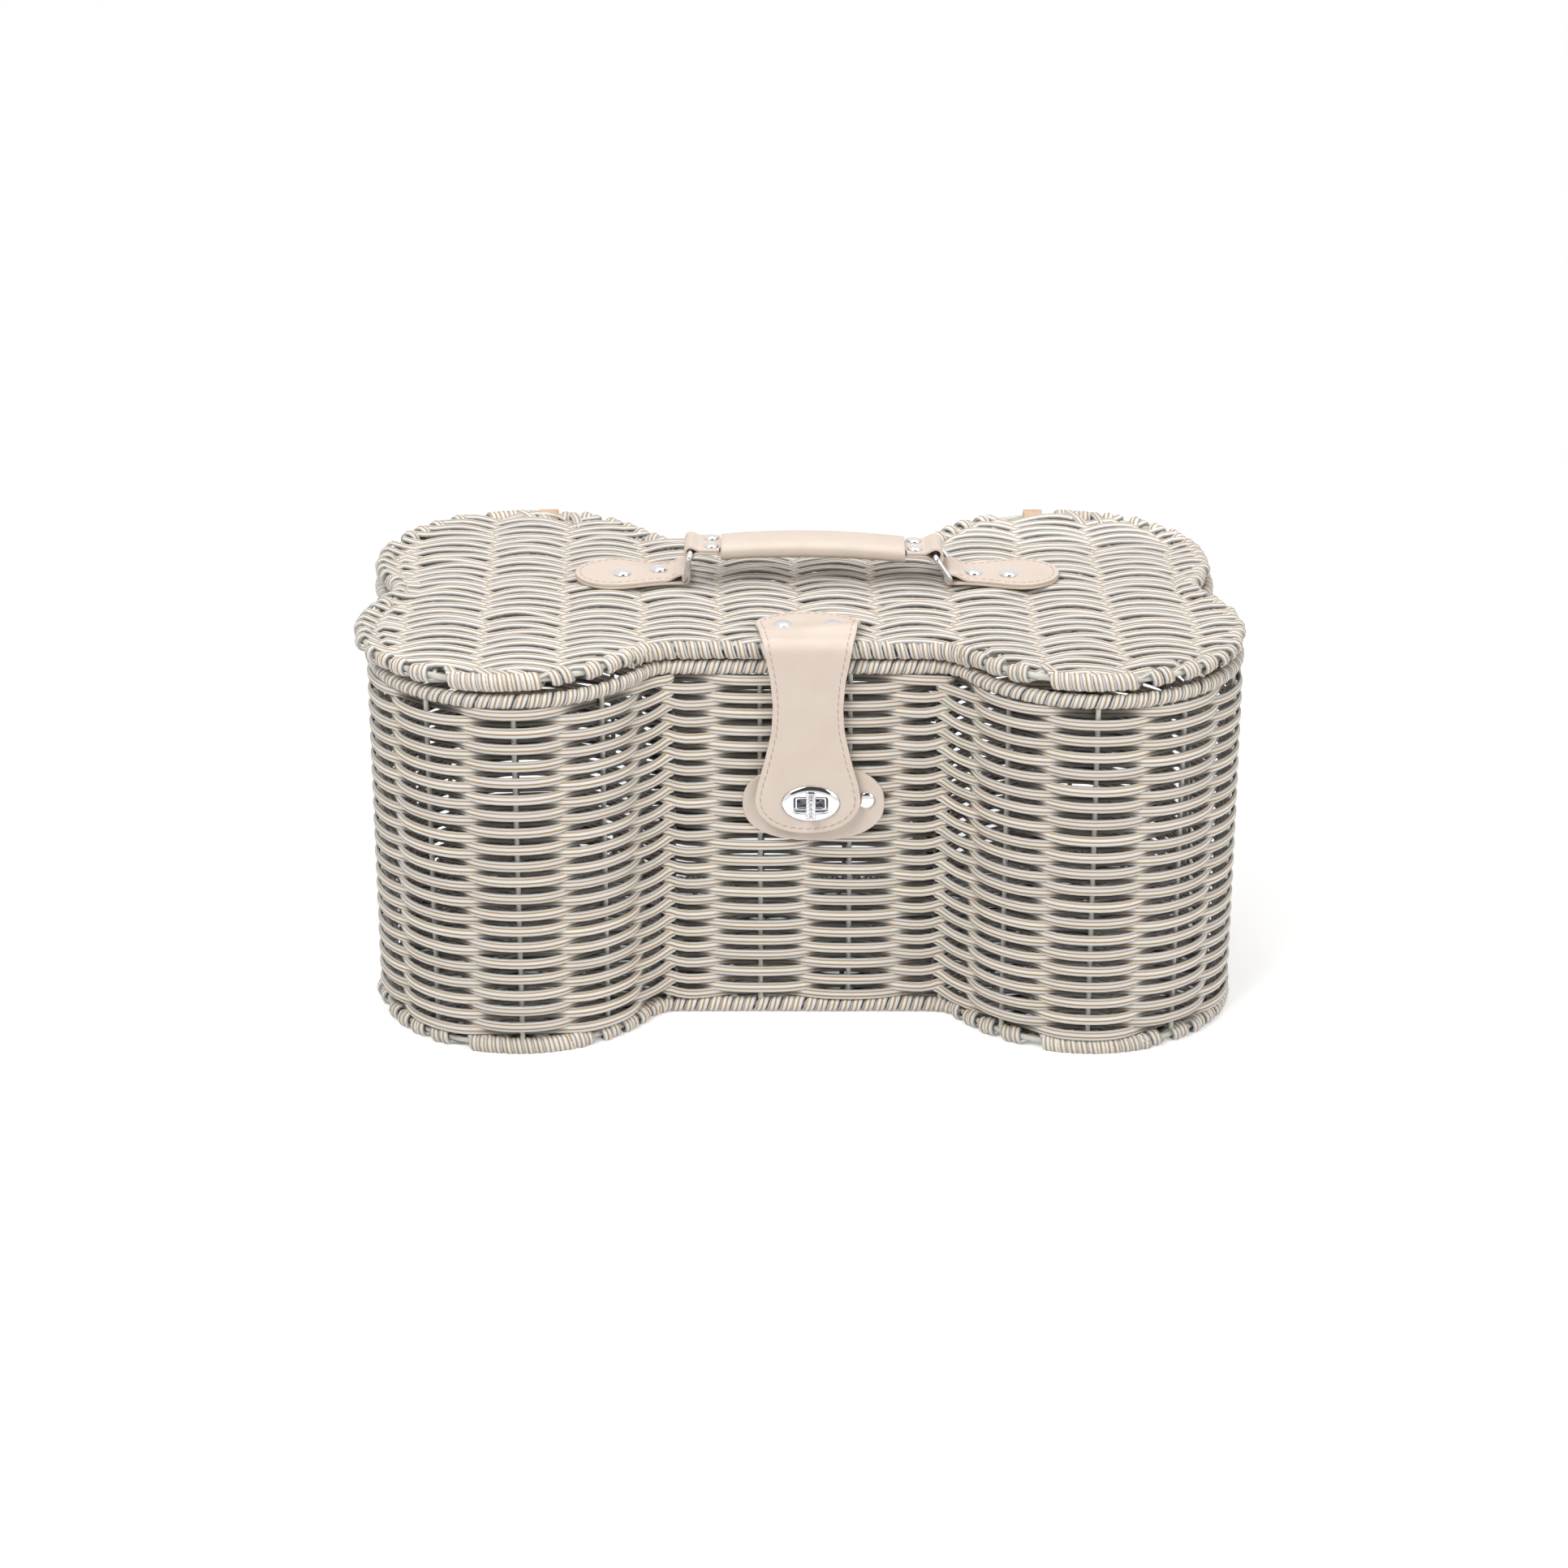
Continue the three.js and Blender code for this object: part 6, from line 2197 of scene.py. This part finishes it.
@dataclass
class TurnLock:
    """The lock: a leather backing, a base plate and a knob, and the oval plate on the strap."""

    finishes: Finishes
    kit: Kit
    heights: Heights = field(default_factory=Heights)
    x: float = 3.1
    z: float = 128.4
    strap_front: float = -90.1
    metal: float = 1.2
    slot: Pair = (18.2, 8.7)
    oval: Pair = (31.4, 20.8)
    plate: Pair = (27.0, 13.0)
    knob: Triple = (5.2, 15.2, 3.6)
    post: float = 2.4
    post_start: float = 3.4
    backing: Pair = (76.0, 44.0)
    backing_x: float = 4.6
    backing_drop: float = 1.8
    backing_thickness: float = 2.0
    backing_fullness: float = 2.35
    washer_depth: float = 8.2
    backing_rivets: Pair = (-18.4, 32.8)
    cap: Pair = (4.8, 1.9)
    recess_depths: Pair = (3.0, 3.5)
    sides: int = 96
    stones: int = 6

    def build(self) -> None:
        """Make every piece of the lock."""
        self._backing()
        self._base_plate()
        self._oval_plate()
        self._knob()

    @property
    def backing_front(self) -> float:
        """The level of the base plate's underside, on the leather backing."""
        return self.heights.wall_front - self.backing_thickness - 0.6

    def _flat(self, places: Array, height: float) -> Array:
        """Put places drawn from the front at a distance before the wall's axis plane."""
        return np.column_stack([places[:, 0], np.full(len(places), height), places[:, 1]])

    def _backing(self) -> None:
        """Cut the leather backing and set its rivets."""
        front = self.heights.wall_front - 0.3 - self.backing_thickness
        middle = front + self.backing_thickness / 2
        half_width, half_height = self.backing[0] / 2, self.backing[1] / 2
        centre = self.z - self.backing_drop
        wide, tall = squarish(np.linspace(0.0, 2 * math.pi, 73)[:-1], self.backing_fullness)
        outline = np.stack([half_width * wide, half_height * tall + half_height], axis=1)
        line = np.array([(0.0, 0.0), (2 * half_height, 0.0)])
        origin = (self.backing_x, middle, centre - half_height)
        fold = Fold(line, origin, (1, 0, 0), (0, 0, 1), (0, -1, 0))
        fold.normals = repeated((0.0, 1.0), len(fold.line))
        hide = Hide(anticlockwise(outline), fold, self.backing_thickness - 0.1)
        piece = hide.build("lock_backing", self.finishes.leather)
        settle(piece, Body.BASKET, Slot.LEATHER, "lock_backing_leather")
        inside = self.heights.wall_front + self.washer_depth
        spots = []
        for x in self.backing_rivets:
            ups = ((0, -1, 0), (0, 1, 0))
            spots += riveted((x, front, self.z), (x, inside, self.z), self.cap, ups)
        rivets = self.kit.rivets("lock_rivets", spots)
        settle(rivets, Body.BASKET, Slot.CHROME, "lock_rivet_left", "lock_rivet_right")

    def _outlines(self, sizes: Pair, corner: float) -> Array:
        """A rounded rectangle round the lock's middle, with a point at each even turn."""
        wide, tall = sizes[0] / 2, sizes[1] / 2
        corners = rounded_box((-wide, -tall), (wide, tall), corner)
        dense = resampled(corners[np.argsort(turn_of(corners))], 0.15, True)
        order = np.argsort(turn_of(dense))
        radii = np.hypot(dense[:, 0], dense[:, 1])
        wanted = np.linspace(-math.pi, math.pi, self.sides + 1)[:-1]
        found = np.interp(wanted, turn_of(dense)[order], radii[order], period=2 * math.pi)
        return np.stack([found * np.cos(wanted), found * np.sin(wanted)], axis=1)

    def _oval_plate(self) -> None:
        """Press the oval plate with its slot."""
        inner = self._outlines(self.slot, 1.6)
        turn = turn_of(inner)
        wide, tall = self.oval[0] / 2, self.oval[1] / 2
        reach = 1.0 / np.sqrt((np.cos(turn) / wide) ** 2 + (np.sin(turn) / tall) ** 2)
        outer = np.stack([reach * np.cos(turn), reach * np.sin(turn)], axis=1)
        centre = np.array([self.x, self.z])
        profile = (
            (0.0, -0.7), (0.0, 1.1), (0.03, 1.45), (0.08, 1.5), (0.14, 1.4), (0.2, 1.55),
            (0.32, 1.7), (0.46, 1.66), (0.6, 1.48), (0.72, 1.2), (0.83, 0.86), (0.93, 0.42),
            (1.0, 0.0), (0.98, -0.05), (0.12, -0.05), (0.1, -0.7),
        )
        rings = []
        for share, height in profile:
            places = centre + inner + (outer - inner) * share
            rings.append(self._flat(places, self.strap_front - 0.2 - height * 0.9))
        piece = skinned("lock_oval", rings, self.finishes.chrome, closed=True)
        settle(piece, Body.STRAP, Slot.CHROME, "strap_eyelet")

    def _base_plate(self) -> None:
        """Press the base plate, with a raised frame that fills the strap's slot."""
        back = self.backing_front
        centre = np.array([self.x, self.z])
        outer = self._outlines(self.plate, 4.0)
        mid = self._outlines((17.2, 7.7), 1.2)
        window = self._outlines((14.6, 5.4), 0.8)
        rows = (
            (outer, 0.0), (outer, 0.9), (outer * 0.97, 1.2), (mid * 1.03, 1.2), (mid, 2.6),
            (mid * 0.985, 4.6), (mid * 0.94, 4.9), (window * 1.03, 4.9), (window, 4.6),
            (window * 0.97, 3.3),
        )
        rings = [self._flat(centre + places, back - height) for places, height in rows]
        piece = skinned("lock_base", rings, self.finishes.chrome)
        settle(piece, Body.BASKET, Slot.CHROME, "lock_plate")
        # The window's floor is a dark plate, whose darkness is painted shade in the recess.
        floor_edge = centre + window * 0.955
        rings = [self._flat(floor_edge, back - depth) for depth in self.recess_depths]
        floor = skinned("lock_recess", rings, self.finishes.recess)
        settle(floor, Body.BASKET, Slot.CHROME)

    def _knob(self) -> None:
        """Make the knob with its post, and set its stones."""
        wide, tall, deep = self.knob
        back = self.strap_front - 0.3 - self.metal - 0.2
        centre = np.array([self.x, self.z])
        bar = self._outlines((wide, tall), 1.3)
        post = np.stack([np.cos(turn_of(bar)), np.sin(turn_of(bar))], axis=1) * self.post
        start = self.backing_front - self.post_start
        rows = (
            (post * 0.95, start), (post, start - 0.2), (post, back - 0.3),
            (bar * 0.93, back - 0.35), (bar, back - 0.7), (bar, back - deep + 0.7),
            (bar * np.array([0.94, 0.98]), back - deep + 0.15),
            (bar * np.array([0.84, 0.95]), back - deep),
        )
        rings = [self._flat(centre + places, y) for places, y in rows]
        piece = skinned("knob_bar", rings, self.finishes.chrome)
        count = self.stones
        pitch = (tall - 1.4) / count
        front = back - deep
        size = pitch / 2 * 0.98
        gem_spots, beads = [], []
        for index in range(count):
            z = self.z + (index - (count - 1) / 2) * pitch
            gem_spots.append(Spot((self.x, front + 0.1, z), (0, -1, 0), (1, 0, 0), (size, size, 1.1)))
        for index in range(count + 1):
            z = self.z + (index - count / 2) * pitch
            for side in (-1, 1):
                place = (self.x + side * wide * 0.36, front - 0.05, z)
                beads.append(Spot(place, (0, -1, 0), (1, 0, 0), (0.62, 0.62, 0.62)))
        settle(piece, Body.KNOB, Slot.CHROME, "lock_knob")
        guide = spot_object("knob_beads", beads)
        grains = self.kit.points.place("knob_beads", guide, self.kit.ball, self.finishes.chrome)
        settle(grains, Body.KNOB, Slot.CHROME)
        guide = spot_object("knob_stones", gem_spots)
        gems = self.kit.points.place("knob_stones", guide, self.kit.gem, self.finishes.stones)
        settle(gems, Body.KNOB, Slot.STONES, "lock_knob_stones")


def turn_of(places: Array) -> Array:
    """The direction of each place from the middle."""
    return np.arctan2(places[:, 1], places[:, 0])


# Studio


def emptied(owner: Any) -> Graph:
    """The graph of a material or a world, without its first nodes."""
    owner.use_nodes = True
    owner.node_tree.nodes.clear()
    return Graph(owner.node_tree)


@dataclass
class Studio:
    """The floor, the lights and the camera."""

    elevation: float = 23.2
    distance: float = 2145.6
    target: Triple = (-11.2, 0.0, 101.2)
    focal_pixels: float = 4735.0
    frame_pixels: float = 1932.0
    surround: float = 0.16
    dark_side: Triple = (0.0, -0.70, 0.71)
    dark_edge: Pair = (0.76, 0.86)
    darkness: float = 0.93
    veil: float = 0.34
    floor_fade: Pair = (0.45, 1.1)
    sensor: float = 36.0

    def build(self) -> None:
        """Set up the view, the floor, the lamps and the world."""
        scene = bpy.context.scene
        scene.view_settings.view_transform = "Standard"
        self._camera(scene)
        self._floor()
        self._lamps()
        self._world(scene)

    def _camera(self, scene: bpy.types.Scene) -> None:
        """Place the camera at the photograph's viewing angle."""
        data = bpy.data.cameras.new("studio_camera")
        data.sensor_width = self.sensor
        data.lens = self.sensor * self.focal_pixels / self.frame_pixels
        data.clip_end = 50.0
        camera = linked("studio_camera", data)
        tilt = math.radians(self.elevation)
        camera.location = (
            self.target[0] * MM, (self.target[1] - self.distance * math.cos(tilt)) * MM,
            (self.target[2] + self.distance * math.sin(tilt)) * MM,
        )
        camera.rotation_euler = (math.pi / 2 - tilt, 0.0, 0.0)
        scene.camera = camera

    def _floor(self) -> None:
        """Lay a large pale floor, which is white to the camera and keeps shadows."""
        mesh = bpy.data.meshes.new("floor")
        half = 12.0
        corners = [(-half, -half, 0.0), (half, -half, 0.0), (half, half, 0.0), (-half, half, 0.0)]
        mesh.from_pydata(corners, [], [(0, 1, 2, 3)])
        floor = linked("floor", mesh)
        material = bpy.data.materials.new("studio_floor")
        graph = emptied(material)
        ray = graph.node("ShaderNodeLightPath").outputs
        seen = Term(graph, ray["Is Camera Ray"]).most(ray["Is Glossy Ray"])
        place = graph.out("ShaderNodeTexCoord", which="Object")
        distance = graph.out("ShaderNodeVectorMath", {"operation": "LENGTH"}, {0: place}, "Value")
        far = distance.rise(*self.floor_fade)
        matte = graph.out("ShaderNodeBsdfDiffuse", None, {"Color": (0.88, 0.88, 0.88, 1.0)})
        white = (1.0, 1.0, 1.0, 1.0)
        glow = {"Color": white, "Strength": seen * self.veil}
        veil = graph.out("ShaderNodeEmission", None, glow)
        near = graph.out("ShaderNodeAddShader", None, {0: matte, 1: veil})
        bright = graph.out("ShaderNodeEmission", None, {"Color": white})
        blend = graph.out("ShaderNodeMixShader", None, {0: far * seen, 1: near, 2: bright})
        graph.node("ShaderNodeOutputMaterial", None, {"Surface": blend})
        floor.data.materials.append(material)

    def _lamps(self) -> None:
        """Hang the soft lamps."""
        rows = (
            ("key_lamp", (-0.9, -1.2, 1.9), 1.0, 34.0), ("fill_lamp", (1.5, -1.1, 1.1), 1.2, 17.0),
            ("top_lamp", (0.1, 0.4, 2.1), 1.3, 20.0),
        )
        for name, place, size, power in rows:
            data = bpy.data.lights.new(name, "AREA")
            data.shape = "SQUARE"
            data.size = size
            data.energy = power
            lamp = linked(name, data)
            lamp.location = place
            aim = Vector((0.0, 0.0, 0.1)) - Vector(place)
            lamp.rotation_euler = aim.to_track_quat("-Z", "Y").to_euler()

    def _world(self, scene: bpy.types.Scene) -> None:
        """Make the surroundings white to the camera and soft to the object."""
        world = bpy.data.worlds.new("studio_world")
        graph = emptied(world)
        ray = graph.node("ShaderNodeLightPath").outputs
        seen, shiny = (Term(graph, ray[f"Is {one} Ray"]) for one in ("Camera", "Glossy"))
        way = graph.out("ShaderNodeTexCoord", which="Generated")
        aside, inputs = {"operation": "DOT_PRODUCT"}, {0: way, 1: self.dark_side}
        facing = graph.out("ShaderNodeVectorMath", aside, inputs, "Value")
        dark = facing.rise(*self.dark_edge)
        around = (1.0 - dark * self.darkness) * shiny + (1.0 - shiny) * self.surround
        strength = seen + (1.0 - seen) * around
        inputs = {"Color": (1.0, 1.0, 1.0, 1.0), "Strength": strength}
        glow = graph.out("ShaderNodeBackground", None, inputs)
        graph.node("ShaderNodeOutputWorld", None, {"Surface": glow})
        scene.world = world


def main() -> None:
    """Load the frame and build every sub-assembly in order."""
    logging.basicConfig(level=logging.INFO, format="%(name)s: %(message)s")
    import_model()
    Studio().build()
    finishes = Finishes()
    sweeper = SweptStrand()
    Basket(finishes, sweeper).build()
    Lid(finishes, sweeper).build()
    kit = Kit(finishes)
    ClosingStrap(finishes, kit).build()
    Anchor(finishes, kit, "left", -66.0, -1).build()
    Anchor(finishes, kit, "right", 80.0, 1, rivet_places=((13.0, -3.0), (32.0, -5.5))).build()
    CarryHandle(finishes, kit, SweptStrand("drawn_wire", 18)).build()
    HingeLoops(finishes).build()
    TurnLock(finishes, kit).build()
    kit.clear()


if __name__ == "__main__":
    main()
